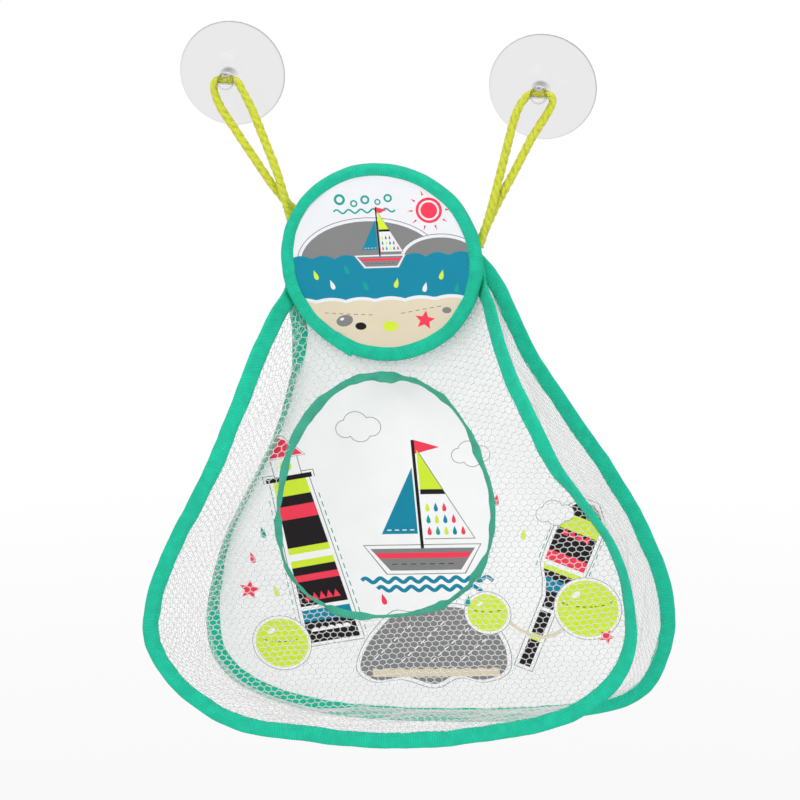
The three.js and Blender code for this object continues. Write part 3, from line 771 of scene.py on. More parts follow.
class ORGANIZER_OT_cords(bpy.types.Operator):
    """Makes the two looped cords and their sewn ends"""

    bl_idname = "organizer.cords"
    bl_label = "Cords"

    def execute(self, context):
        settings = context.scene.organizer_cord
        material = cord_material(settings)
        for side, route in (("left", LEFT_ROUTE), ("right", RIGHT_ROUTE)):
            path = smooth_points(route, False, 0.8)
            piece, run = make_cord(f"{side}_looped_cord", path, 0, settings)
            finish_piece(piece, "hanging_cords", "lime_cord", material, f"{side}_cord")
            world = [tuple((HANG @ p) * MM) for p in path]
            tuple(world[0])
            end = join_objects(self.strands(side, route, run, settings), f"{side}_sewn_cord_end")
            finish_piece(end, "bag", "lime_cord", material, f"{side}_cord_stub")
        return {"FINISHED"}

    def strands(self, side, route, run, settings):
        """The two strands go on behind the edge of the head, where they are stitched flat."""
        pieces = []
        for spots, start in ((route[:2], 0), (route[:-3:-1], run)):
            end, before = map(Vector, spots)
            inward = (end - before).normalized()
            tip = end + inward * 9.5 + Vector((0, -0.3 if end.y < 2 else -1.2, 0))
            path = smooth_points([end - inward * 0.4, end + inward * 4, tip], False, 0.8)
            pieces.append(make_cord(f"{side}_cord_end_{len(pieces)}", path, start, settings)[0])
        return pieces


# Suction cups

CUP_PROFILE = [
    (0, 1.5), (8.4, 1.4), (15.6, 0.95), (21.1, 0.35), (23.6, 0.04), (24.2, 0), (28.9, 0),
    (29.6, 0.1), (30, 0.45), (29.8, 0.85), (29.3, 1.05), (24, 1.55), (19.5, 2.3), (15.2, 3.3),
    (11.6, 4.5), (9.0, 5.9), (7.4, 7.4), (6.4, 8.9), (5.5, 10.6), (5.05, 12.2), (5, 15), (5, 18.9),
    (4.75, 19.9), (4.2, 20.5), (3.4, 20.7), (0, 20.7),
]
HOLE_PROFILE = [
    (0, -12), (7, -12), (3.8, -5.4), (2.85, -4.2), (2.7, -3), (2.7, 3), (2.85, 4.2), (3.8, 5.4),
    (7, 12), (0, 12),
]


def cup_painted_shade(x, y, z):
    """Painted shade of a point: on the cup's rim, most to the upper right, on the upper side of the
    knob's root, and at the edge of its end.
    """
    radius, height = math.hypot(x, z), -y
    turn = math.atan2(z, x)
    if radius > 28:
        return clamp((radius - 29.1) / 0.5) * (0.34 + 0.3 * math.cos(turn - 0.9))
    if height > 19.3 and radius > 3.6:
        return 0.5
    if 9 < height < 17.5 and 4.6 < radius < 7:
        return max(0, math.sin(turn)) ** 1.5 * min(1, (height - 9) / 1.5, (17.5 - height) / 1.5)
    return 0.0


class ORGANIZER_OT_cups(bpy.types.Operator):
    """Makes the two clear suction cups"""

    bl_idname = "organizer.cups"
    bl_label = "Suction cups"

    def execute(self, context):
        settings = context.scene.organizer_cup
        material = cup_material(settings)
        points = smooth_points([(r, h, 0) for r, h in CUP_PROFILE], False, 0.55)
        turned = [(max(p.x, 0.2), p.y) for p in points[1:-1]]
        profile = [(0, points[0].y), *turned, (0, points[-1].y)]
        across = Matrix.Translation((0, -HOLE_HEIGHT, 0)) @ Matrix.Rotation(TAU / 4, 4, "Z")
        for side, x in (("left", -CUP_X), ("right", CUP_X)):
            body = new_object(f"{side}_clear_cup", lathe_mesh(side, profile, settings.steps))
            cutter = new_object("knob_hole", lathe_mesh("knob_hole", HOLE_PROFILE, 48))
            cutter.data.transform(across)
            cut = body.modifiers.new("hole", "BOOLEAN")
            cut.object, cut.operation, cut.solver = cutter, "DIFFERENCE", "EXACT"
            mesh = plain_mesh(body)
            bpy.data.objects.remove(cutter)
            bpy.data.objects.remove(body)
            smooth(mesh, 40)
            # Painted shade on the rim and the knob, kept in the tone attribute.
            point_values(mesh, "tone", [cup_painted_shade(*v.co) for v in mesh.vertices])
            cup = new_object(f"{side}_clear_cup", mesh, Matrix.Translation((x, 0, 0)))
            finish_piece(cup, "wall_cups", "clear_cup", material, f"{side}_suction_cup")
        return {"FINISHED"}


# Tape

def tape_outline(width, fold, edge, thick):
    """The folded tape's outline: in from the fold, and out from the cloth's middle."""
    outer = [
        (width, edge), (width - 0.3, edge + 0.28), (width * 0.72, fold - 0.12), (width * 0.4, fold),
        (1.6, fold), (0.7, fold * 0.86), (0.2, fold * 0.55), (0, fold * 0.2),
    ]
    inner = [(max(a, thick * 0.9), max(0.12, b - thick)) for a, b in outer if a > thick]
    upper = inner[::-1] + outer
    return upper + [(a, -b) for a, b in reversed(upper)]


def make_tape(name, edge, closed, outline, place, loose, seed, widen=lambda spot: 1):
    """Tape folded over an edge. It wanders a little, puckers, and may be wider in places."""
    rings = []
    for spot, inward in zip(*edge):
        puff = widen(spot) * (1 + slack(*spot, (loose, 13, seed)))
        shift = slack(*spot, (0.4, 24, seed + 4), (0.3, 8, seed + 7))
        lift = slack(*spot, (0.5, 11, seed + 2))
        rings.append([place(*(spot + inward * (a * puff + shift)), b + lift * min(1, a / 6))
                      for a, b in outline])
    lengths = running_lengths([ring[len(ring) // 2] for ring in rings], closed)
    girths = running_lengths([Vector(p) for p in outline], True)
    return new_object(name, ring_mesh(name, rings, closed, lengths, girths), BAG)


def wide_edges():
    """The edges with wide tape: name, edge, whether it is closed, its surface and a seed."""
    return (
        ("front", front_edge(1.5), False, front_place, 15),
        ("back", back_edge(1.6), True, back_place, 14),
    )


class ORGANIZER_OT_tapes(bpy.types.Operator):
    """Makes the tape round the front, the back and the mouth"""

    bl_idname = "organizer.tapes"
    bl_label = "Binding tapes"

    def execute(self, context):
        settings = context.scene.organizer_tape
        material = tape_material(settings, settings.colour)
        wide = tape_outline(settings.width, 1.3, 0.45, 0.42)
        for side, edge, closed, place, seed in wide_edges():
            tape = make_tape(f"{side}_edge_tape", edge, closed, wide, place, 0.06, seed)
            finish_piece(tape, "bag", "teal_tape", material, f"{side}_binding")
        self.make_mouth(settings, tape_material(settings, settings.mouth_colour))
        return {"FINISHED"}

    def make_mouth(self, settings, material, sides=20):
        """The mouth's tape is narrow and stretchy, so it rolls, twists and puckers."""
        rings = []
        for spot, inward in zip(*mouth_edge(1.0)):
            roll = slack(*spot, (2.6, 30, 2.2), (1.2, 8, 9.1))
            wide = 0.95 + slack(*spot, (1.1, 19, 6.6), (0.35, 6, 3.3))
            half = settings.mouth_width / 2 * max(0.45, wide)
            middle = settings.mouth_width * 0.45 + slack(*spot, (0.8, 17, 4.4))
            ring = []
            for turn in full_turn(sides):
                c, s = math.cos(turn), math.sin(turn)
                a = half * math.copysign(abs(c) ** 0.7, c)
                b = MOUTH_TAPE_HALF * s * (1 + 0.35 * c)
                [(a, b)] = moved([(a, b)], 0, 0, roll)
                ring.append(front_place(*(spot + inward * (middle + a)), b))
            rings.append(ring)
        girths = [TAU * 1.7 * j / sides for j in range(sides + 1)]
        lengths = running_lengths([ring[0] for ring in rings], True)
        mesh = ring_mesh("mouth_tape", rings, True, lengths, girths)
        tape = new_object("mouth_tape", mesh, BAG)
        finish_piece(tape, "bag", "teal_tape", material, "mouth_binding")


# Nets

NET_START = 51


def staggered(low, high, pitch, row_pitch):
    """Places in rows, each second row half a pitch further on."""
    for row in range(int((high[1] - low[1]) / row_pitch) + 1):
        for column in range(int((high[0] - low[0]) / pitch) + 1):
            yield low[0] + (column + row % 2 / 2) * pitch, low[1] + row * row_pitch


def hexagon_edges(low, high, pitch, inside):
    """Corners and edges of a honeycomb whose both ends pass the test."""
    reach = pitch / math.sqrt(3)
    corners, spots, edges = {}, [], set()

    def corner(x, z):
        key = (round(x / (pitch / 2)), round(z / (reach / 2)))
        if key not in corners:
            corners[key] = len(spots) if inside(x, z) else None
            if corners[key] is not None:
                spots.append((x, z))
        return corners[key]

    for x, z in staggered(low, high, pitch, reach * 1.5):
        offsets = [polar(reach, TAU * (k + 0.5) / 6) for k in range(6)]
        ring = [corner(x + a, z + b) for a, b in offsets]
        for a, b in zip(ring, ring[1:] + ring[:1]):
            if a is not None and b is not None:
                edges.add((min(a, b), max(a, b)))
    return spots, sorted(edges)


def point_inside(outline):
    """A quick test of whether a place lies within an outline, by rows."""
    rows = {}
    low = min(p[1] for p in outline)
    for (x1, z1), (x2, z2) in zip(outline, outline[1:] + outline[:1]):
        for row in range(int(min(z1, z2) - low), int(max(z1, z2) - low) + 1):
            rows.setdefault(row, []).append((x1, z1, x2, z2))

    def test(x, z):
        inside = False
        for x1, z1, x2, z2 in rows.get(int(z - low), ()):
            if (z1 > z) != (z2 > z) and x < (x2 - x1) * (z - z1) / (z2 - z1) + x1:
                inside = not inside
        return inside

    return test


def spread(x, z, steps=12):
    """Evens out the net's cells on the steep part of the front: plane to lattice."""
    radius = math.hypot(x, z)
    run = clamp(radius - FLARE_RADIUS, 0, FLARE_RUN)
    longer = 0.0
    for i in range(steps):
        slope = flare(FLARE_RADIUS + run * (i + 0.5) / steps)[1]
        longer += (math.sqrt(1 + slope * slope) - 1) * run / steps
    return 1 + 0.4 * longer / max(radius, 1)


def unspread(x, z):
    """Lattice to plane, the inverse of spread."""
    share = 1.0
    for _ in range(6):
        share = spread(x / share, z / share)
    return x / share, z / share


def stretched(x, z):
    """The cells of a net are a little uneven."""
    return (x + slack(x, z, (0.9, 17, 2.3), (0.5, 4.5, 7.1)),
            z + slack(x, z, (0.9, 15, 5.8), (0.5, 4.5, 1.6)))


def front_lattice(settings):
    """Places and strands of the front net, and its size when it is flat."""
    outline = [p + a * 1.2 for p, a in zip(*front_edge(4)) if p.length > FLARE_RADIUS]
    start, stop = (math.atan2(p.y, p.x) for p in (outline[-1], outline[0]))
    outline += [polar(NET_START, start + (stop - start) * i / 40) for i in range(41)]
    hole = point_inside(inset(mouth_edge(3), 1.6))
    cloth = point_inside(outline)
    turned = Matrix.Rotation(math.radians(settings.turn), 2)

    def spot(x, z):
        place = turned @ Vector((x, (z - LATTICE_Z) * settings.squash))
        return unspread(place.x, place.y + LATTICE_Z)

    def inside(x, z):
        place = spot(x, z)
        return cloth(*place) and not hole(*place)

    spots, edges = hexagon_edges((-200, -370), (200, 60), settings.pitch, inside)
    return [front_place(*stretched(*spot(*p))) for p in spots], edges, (281, 262)


def turned_lattice(settings, covered):
    """The gusset's turned edge, which lies over the left back tape inside the pouch."""
    length = running_lengths([p for p, _ in covered], False)[-1]

    def inside(along, across):
        return 0 <= along <= length and 0 <= across * settings.squash <= TAPE_WIDTH

    spots, edges = hexagon_edges((0, 0), (length, 14), settings.pitch * 0.85, inside)
    found = []
    for along, across in spots:
        p, a = covered[round(along / length * (len(covered) - 1))]
        found.append(back_place(*(p + a * across * settings.squash), -2.2))
    return found, edges


def at_share(line, share):
    at = clamp(share) * (len(line) - 1)
    low = min(int(at), len(line) - 2)
    return line[low] + (line[low + 1] - line[low]) * (at - low)


def gusset_inset(spot):
    """How far inside the back's edge the gusset is sewn: less where the tape leans, and at the
    left corner."""
    corner = clamp((-40 - spot.x) / 25) if spot.y < -200 else 0
    return GUSSET_INSET - GUSSET_REACH * max(min(1, back_lean(*spot) / 0.8), 0.8 * corner)


def gusset_lattice(settings):
    """Places and strands of the gusset net, and its size when it is flat."""
    front = [p for p in inset(front_edge(2), 4.2) if flare(p.length)[0] > 5]
    edge = list(zip(*back_edge(2)))
    back = [p + a * gusset_inset(p) for p, a in edge]
    back = [p for p in back if p.y < -24]
    length = sum(running_lengths(line, False)[-1] for line in (front, back)) / 2

    def ends(share):
        low, high = at_share(back, share), at_share(front, share)
        return back_place(*low, -1.2), front_place(*high, 1.2)

    seams = [ends(i / 200) for i in range(201)]
    widths = [(high - low).length for low, high in seams]

    def inside(along, up):
        width = at_share(widths, along / length)
        return 0 <= along <= length and abs(up * settings.squash) < width / 2

    def place(along, up):
        share = along / length
        low, high = ends(share)
        width = at_share(widths, share)
        rise = 0.5 + up / width
        inward = Vector((-low.x, 0, POUCH_MIDDLE_Z - low.z)).normalized()
        folds = slack(along, up * 0.35, (3.2, 30, 7.7)) + slack(along, up, (1.2, 11, 1.9))
        belly = 4 * rise * (1 - rise) * (GUSSET_SAG * min(1, width / 84) + folds)
        return low.lerp(high, rise) + inward * belly

    spots, edges = hexagon_edges((0, -80), (length, 80), settings.pitch, inside)
    found = [place(along, up * settings.squash) for along, up in spots]
    covered = [(p, a) for p, a in edge if back_lean(*p) > 0.75]
    more, strands = turned_lattice(settings, covered)
    edges += [(len(found) + i, len(found) + j) for i, j in strands]
    return found + more, edges, (length, max(widths))


class ORGANIZER_OT_nets(bpy.types.Operator):
    """Makes the front net and the gusset net, strand by strand"""

    bl_idname = "organizer.nets"
    bl_label = "Nets"

    def execute(self, context):
        settings = context.scene.organizer_net
        material = net_material(settings)
        tree = strand_tree(material)
        for side, lattice, radius in (
            ("front", front_lattice, settings.strand),
            ("gusset", gusset_lattice, settings.gusset_strand),
        ):
            spots, edges, size = lattice(settings)
            name = f"{side}_hexagon_net"
            net = new_object(name, mesh_from(name, spots, [], edges), BAG)
            grow(net, tree, {"Strand radius": radius * MM, "Sides": settings.sides})
            finish_piece(net, "bag", "white_net", material, f"{side}_net")
        return {"FINISHED"}


# Shapes of the prints, each with the name of its colour

def moved(points, x, z, turn=0.0, size=1.0):
    c, s = math.cos(turn) * size, math.sin(turn) * size
    return [(x + a * c - b * s, z + a * s + b * c) for a, b in points]


def placed(shapes, *where):
    return [(colour, moved(points, *where)) for colour, points in shapes]


def oval(x, z, half_x, half_z=None, turn=0.0, steps=40):
    half_z = half_z or half_x
    spots = [(half_x * math.cos(t), half_z * math.sin(t)) for t in full_turn(steps)]
    return moved(spots, x, z, turn)


def drop(x, z, size, turn=0.0):
    spots = []
    for t in full_turn(24):
        narrow = math.sin(t / 2) ** 1.6
        spots.append((size * 0.55 * math.sin(t) * narrow, size * math.cos(t) * 0.9))
    return moved(spots, x, z, turn)


def drops(size, turn, *rows):
    return [(colour, drop(x, z, size, turn if x < 0 else -turn)) for x, z, colour in rows]


def star(x, z, size, turn):
    spots = [polar(size * (0.45 if i % 2 else 1), TAU / 4 - TAU * i / 10) for i in range(10)]
    return "coral", moved(spots, x, z, -turn)


def wave_band(top, bottom, height, length, phase=0.0, left=-60, right=60):
    """A band with a scalloped top."""
    steps = int((right - left) / 2)
    upper = []
    for i in range(steps + 1):
        x = left + (right - left) * i / steps
        upper.append((x, top + height * abs(math.sin(math.pi * (x / length + phase))) ** 0.8))
    return upper + [(right, bottom), (left, bottom)]


def dashes(colour, start, end, dash, gap, width):
    a, b = Vector(start), Vector(end)
    run = (b - a).length
    along = (b - a) / run
    side = Vector((-along.y, along.x)) * width / 2
    found = []
    at = gap / 2
    while at + dash < run:
        low, high = a + along * at, a + along * (at + dash)
        strip = (low + side, high + side, high - side, low - side)
        found.append((colour, [tuple(p) for p in strip]))
        at += dash + gap
    return found


def band(points, width):
    """A ribbon of even width along some points."""
    spots = [Vector(p) for p in points]
    edge = spots, across_edge(spots, False)
    return [tuple(p) for p in inset(edge, width / 2) + inset(edge, -width / 2)[::-1]]


def ripple(left, right, z, height, length, width):
    """A wavy line."""
    steps = int((right - left) / 0.7)
    runs = [(right - left) * i / steps for i in range(steps + 1)]
    return band([(left + run, z + height * math.sin(TAU * run / length)) for run in runs], width)


def bordered(colour, grown, border=2.0, line=0.5):
    """A shape, given by how it looks grown by a width, on a white border and a thin grey line."""
    return [("grey", grown(border + line)), ("white", grown(border)), (colour, grown(0))]


def corners(*rows):
    """A growing polygon: each corner, and how far it moves to the right and up."""
    return lambda extra: [(x + right * extra, z + up * extra) for x, z, right, up in rows]


def striped(half_width, length, stripes):
    """A long shape along +Z in stripes, each with its colour and its share of the length."""

    def slab(low, high, extra=0.0):
        shares = [low + (high - low) * i / 12 for i in range(13)]
        right = [(half_width(clamp(share)) + extra, share * length) for share in shares]
        return right + [(-a, b) for a, b in reversed(right)]

    shapes = bordered("ink", lambda extra: slab(-extra / length, 1 + extra / length, extra))
    total = sum(size for _, size in stripes)
    low = 0.0
    for colour, size in stripes:
        shapes.append((colour, slab(low, low + size / total)))
        low += size / total
    return shapes


def row_of(colour, shape, count, x, z, step):
    return [(colour, moved(shape, x + step * i, z)) for i in range(count)]


TOOTH = [(-2.2, 0), (2.2, 0), (0, 5)]
SCALLOP = [polar(2.6, math.pi * i / 8) for i in range(9)]


def lighthouse():
    """A tall tower in stripes with scallops and teeth, a lantern and a roof."""
    stripes = [
        ("ink", 13), ("blue", 7), ("white", 2.5), ("ink", 15), ("coral", 4), ("ink", 5),
        ("lime", 4), ("white", 4), ("lime", 4), ("ink", 17), ("coral", 8), ("ink", 6), ("lime", 9),
    ]
    shapes = striped(lambda share: 16 - 6 * share, 104, stripes)
    shapes += row_of("coral", TOOTH, 5, -8.8, 27, 4.4)
    shapes += row_of("lime", SCALLOP, 5, -10.4, 49, 5.2)
    shapes += row_of("white", SCALLOP, 5, -9.6, 7, 4.8)
    gallery = corners((-14, 104, -1, 0), (14, 104, 1, 0), (14, 107, 1, 1), (-14, 107, -1, 1))
    lantern = corners((-8, 107, -1, 0), (8, 107, 1, 0), (8, 119, 1, 0), (-8, 119, -1, 0))
    roof = corners((-12, 119, -1, -0.5), (12, 119, 1, -0.5), (0, 133, 0, 1.6))
    shapes += bordered("ink", gallery, 1.2) + bordered("white", lantern, 0)
    shapes.append(("lime", oval(0, 113, 3.6)))
    shapes += bordered("coral", roof, 1.2)
    for side in (-1, 1):
        shapes += dashes("teal", (side * 20.5, 2), (side * 14.8, 98), 3.4, 2.4, 0.6)
    return shapes


def oar():
    """A striped oar with a broad blade, its edge followed by a dashed line."""

    def half_width(share):
        tip = max(0, (share - 0.86) / 0.14)
        return (3.4 + 8.6 * ease((share - 0.42) / 0.2)) * math.sqrt(max(0.06, 1 - tip * tip))

    stripes = [
        ("ink", 16), ("lime", 4), ("ink", 14), ("white", 2), ("ink", 10), ("blue", 7), ("ink", 4),
        ("lime", 3), ("white", 2.5), ("coral", 6), ("ink", 14), ("lime", 9), ("ink", 9),
    ]
    shapes = striped(half_width, 112, stripes) + row_of("coral", TOOTH, 4, -6.6, 88, 4.4)
    for x in (-15.5, 15.5):
        shapes += dashes("teal", (x, 62), (x, 106), 3.4, 2.4, 0.6)
    return shapes


def boat():
    """A sailing boat: hull, mast, a patterned main sail, a plain fore sail and a pennant."""
    hull = corners((-20, 0, -1.6, 1), (20, 0, 1.6, 1), (14, -9, 1, -1), (-13, -9, -1, -1))
    sail = corners((1.2, 4, 0, -1), (1.2, 40, 0, 2), (20, 4, 1.6, -1))
    shapes = bordered("grey", hull, 1.3, 0.35) + bordered("white", sail, 0, 0.35)
    shapes += [
        ("coral", [(-18.4, -1.8), (18.4, -1.8), (17, -4), (-16.6, -4)]),
        ("ink", [(-0.6, 0), (0.6, 0), (0.6, 44), (-0.6, 44)]),
        ("coral", [(0.6, 44), (10, 41), (0.6, 38.4)]),
        ("lime", [(1.2, 22), (10.6, 22), (1.2, 40)]),
        ("ink", [(1.2, 22), (10.6, 22), (9.6, 24), (1.2, 24)]),
        ("blue", [(-1.2, 6), (-1.2, 33), (-15, 6)]),
    ]
    colours = ("coral", "teal", "lime", "blue")
    for row, (z, count) in enumerate(((7.2, 5), (12, 4), (16.8, 3))):
        shapes += [(colours[(i + row) % 4], drop(3.3 + 3.2 * i, z, 2.1)) for i in range(count)]
    shapes += dashes("white", (-13.4, 7.6), (-2.4, 7.6), 1.6, 1.3, 0.4)
    return shapes + dashes("ink", (-13, -6.4), (13, -6.4), 2, 1.6, 0.3)


def cloud(x, z, size):
    puffs = [(-9, 0, 5.5), (-2, 3.5, 7.5), (7, 1.2, 6), (0, -2, 6.5)]
    return [(colour, oval(x + a * size, z + b * size, r * size + line))
            for colour, line in (("grey", 0.4), ("white", 0)) for a, b, r in puffs]


def float_ball(x, z, radius):
    """A float with a dashed seam."""
    found = bordered("lime", lambda extra: oval(x, z, radius + extra), 1.6, 0.4)
    turns = [0.5 * i - 1.5 for i in range(7)]
    seam = [(x + radius * 0.86 * math.sin(t), z + radius * (0.3 - 0.25 * math.cos(t)))
            for t in turns]
    for a, b in zip(seam, seam[1:]):
        found += dashes("ink", a, b, 2.2, 1.4, 0.5)
    shine = oval(x - radius * 0.35, z + radius * 0.5, radius * 0.16, radius * 0.09, 0.6)
    return found + [("white", shine)]


def head_design():
    """Sea, sand and hills with a small boat, as a round print."""
    shapes = []
    for x, z, half_x, half_z in ((-6, 0, 40, 25), (34, 1, 21, 13)):
        shapes += bordered("grey", lambda more: oval(x, z, half_x + more, half_z + more), 1.8, 0.45)
    shapes += [
        ("blue", wave_band(3, -26, 2.4, 13)),
        ("white", wave_band(-21.5, -60, 1.6, 17, 0.3)),
        ("sand", wave_band(-23.5, -60, 1.6, 17, 0.3)),
        ("coral", oval(30, 30, 7.4)), ("white", oval(30, 30, 5.8)), ("coral", oval(30, 30, 4.7)),
    ]
    ray = [(9.2, -0.6), (12.4, 0), (9.2, 0.6)]
    shapes += [("coral", moved(ray, 30, 30, turn)) for turn in full_turn(10)]
    for x, z, size in (
        (-20, 38, 3.2), (-12, 35.5, 2.1), (-5.5, 37.5, 2.6), (1.5, 36, 1.8), (7.5, 38, 2.4),
    ):
        shapes += [("teal", oval(x, z, size)), ("white", oval(x, z, size * 0.55))]
    shapes.append(("teal", ripple(-24, 11, 31, 1.1, 7, 1.0)))
    shapes += placed(boat(), 0, 4, 0, 0.66)
    shapes += drops(
        3.4, 0.3, (-38, -6, "lime"), (-29, -12, "white"), (34, -8, "lime"), (24, -15, "white"),
        (-10, -13, "teal"), (8, -12, "lime"), (42, -16, "teal"), (-20, -3, "teal"),
    )
    shapes.append(star(22, -35, 6, 0.2))
    for colour, *pebble in (
        ("grey", -24, -34, 5, 3.4, 0.3), ("ink", -15, -37.5, 3.2, 2.3),
        ("white", -25.4, -33, 1.3, 0.8, 0.4), ("lime", 2, -38, 4.4, 3),
        ("grey", 35, -29.5, 2.6, 1.9),
    ):
        shapes.append((colour, oval(*pebble)))
    shapes += dashes("grey", (-36, -29), (-6, -31), 2.4, 1.8, 0.45)
    return shapes + dashes("grey", (8, -30.5), (34, -26.5), 2.4, 1.8, 0.45)


def rock():
    """A rock with a sandy foot and dashed veins."""
    edge = [
        (0, 0), (0.3, 0.12), (0.62, 0.05), (0.95, 0.16), (1, 0.42), (0.86, 0.72), (0.55, 0.96),
        (0.15, 1), (-0.2, 0.9), (-0.42, 0.93), (-0.72, 0.7), (-0.92, 0.45), (-1, 0.2), (-0.8, 0.06),
        (-0.4, 0.1),
    ]
    edge = flat_edge([(44 * x, 50 * z) for x, z in edge], True, 3)
    outward = [(p - Vector((0, 24))).normalized() for p in edge]
    shapes = bordered("grey", lambda extra: inset((edge, outward), extra), 2.4)
    shapes.append(("sand", wave_band(9, 5, 1.8, 8, 0, -37, 39)))
    for start, end in (
        ((-36, 16), (-8, 42)), ((-20, 14), (12, 44)), ((-2, 14), (28, 41)), ((16, 15), (37, 33)),
    ):
        shapes += dashes("white", start, end, 3.4, 2.4, 0.7)
    return shapes


def back_design():
    """A lighthouse, a boat, an oar, a rock and floats in the middle of a large white panel."""
    shapes = placed(oar(), 60, -256, -0.42) + placed(rock(), 6, -268)
    shapes += placed(lighthouse(), -52, -238, 0.16)
    rope = [(40 + 6.4 * i, -212 - 26 * math.sin(0.314 * i)) for i in range(11)]
    shapes.append(("sand", band(rope, 2.4)))
    for ball in ((100, -220, 18), (41, -222, 12), (-84, -240, 16)):
        shapes += float_ball(*ball)
    shapes += placed(boat(), 6, -180, 0, 1.55)
    shapes.append(("blue", ripple(-32, 46, -200, 1.4, 9, 2.4)))
    shapes.append(("blue", ripple(-23, 39, -205.5, 1.4, 9, 2.4)))
    shapes += cloud(-24, -104, 0.95) + cloud(40, -122, 0.8) + cloud(86, -160, 0.8)
    shapes += [star(-100, -205, 6.5, 0.2), star(110, -238, 5, 0.5)]
    return shapes + drops(
        4.2, 0.2, (-88, -168, "teal"), (-96, -184, "coral"), (66, -172, "lime"), (30, -214, "teal"),
        (-20, -212, "coral"), (52, -150, "coral"), (-84, -206, "lime"),
    )


# Printed covers

def signed_area(loop):
    return sum(a[0] * b[1] - b[0] * a[1] for a, b in zip(loop, loop[1:] + loop[:1])) / 2


def finely(loop, spacing):
    """The loop with its long sides cut, so that they follow the cloth."""
    cut = []
    for a, b in zip(loop, loop[1:] + loop[:1]):
        count = max(1, math.ceil(math.dist(a, b) / spacing))
        cut += [(a[0] + (b[0] - a[0]) * i / count, a[1] + (b[1] - a[1]) * i / count)
                for i in range(count)]
    return cut


def printed_mesh(outline, shapes, spacing, palette, creases):
    """A flat triangle mesh that follows each printed shape, with its colour on every face."""
    spots, loops = [], []
    for points in [outline] + [points for _, points in shapes]:
        loop = finely(points, spacing)
        loops.append(list(range(len(spots), len(spots) + len(loop))))
        spots += loop if signed_area(loop) > 0 else loop[::-1]
    inside = point_inside(outline)
    low, high = ([end(p[k] for p in outline) for k in (0, 1)] for end in (min, max))
    grid = list(staggered(low, high, spacing, spacing * 0.866))
    spots += [p for p in grid + creases if inside(*p)]
    flat, _, faces, _, _, owners = geometry.delaunay_2d_cdt(
        [Vector(p) for p in spots], [], loops, 1, 1e-4, True
    )
    kept, colours = [], []
    for face, owner in zip(faces, owners):
        if 0 in owner:
            top = max(owner)
            kept.append(face)
            colours.append(palette[shapes[top - 1][0] if top else "white"])
    return flat, kept, colours


def cover_piece(name, outline, shapes, spacing, palette, place, thick, creases=()):
    """A printed sheet with a white back, closed all round."""
    flat, faces, tones = printed_mesh(outline, shapes, spacing, palette, list(creases))
    used = sorted({i for face in faces for i in face})
    count = len(used)
    index = {old: new for new, old in enumerate(used)}
    front = [tuple(index[i] for i in face) for face in faces]
    sides = dict.fromkeys(side for face in front for side in zip(face, face[1:] + face[:1]))
    faces = front + [tuple(count + i for i in reversed(face)) for face in front]
    faces += [(b, a, count + a, count + b) for a, b in sides if (b, a) not in sides]
    mesh = mesh_from(name, [place(*flat[i], behind) for behind in (0, thick) for i in used], faces)
    layer = mesh.color_attributes.new("print", "FLOAT_COLOR", "CORNER")
    tones += [palette["white"]] * (len(faces) - len(front))
    for polygon, tone in zip(mesh.polygons, tones):
        for loop in polygon.loop_indices:
            layer.data[loop].color = (*tone, 1)
    face_outwards(mesh)
    smooth(mesh, 50)
    return new_object(name, mesh, BAG)


def print_palette(settings):
    return {name: tuple(getattr(settings, name)) for name in PrintSettings.__annotations__}


def head_edge(turn, out=0.0):
    """The head's outline, which sags a little at its foot."""
    return Vector(polar(HEAD_RADIUS + out + 2.2 * max(0, -math.sin(turn)) ** 3, turn))


def head_widening(spot):
    """The tape is pulled tight over the top and lies wide under the head."""
    return 1 - 0.17 * spot.y / HEAD_RADIUS


def head_front(x, z, behind):
    """The padded front of the head: flat in the middle, drawn in under the tape."""
    crown = 1 - min(1, math.hypot(x, z) / 50) ** 4
    return head_place(x, z, behind - 2.1 - crown + slack(x, z, (0.25, 22, 4.2)))


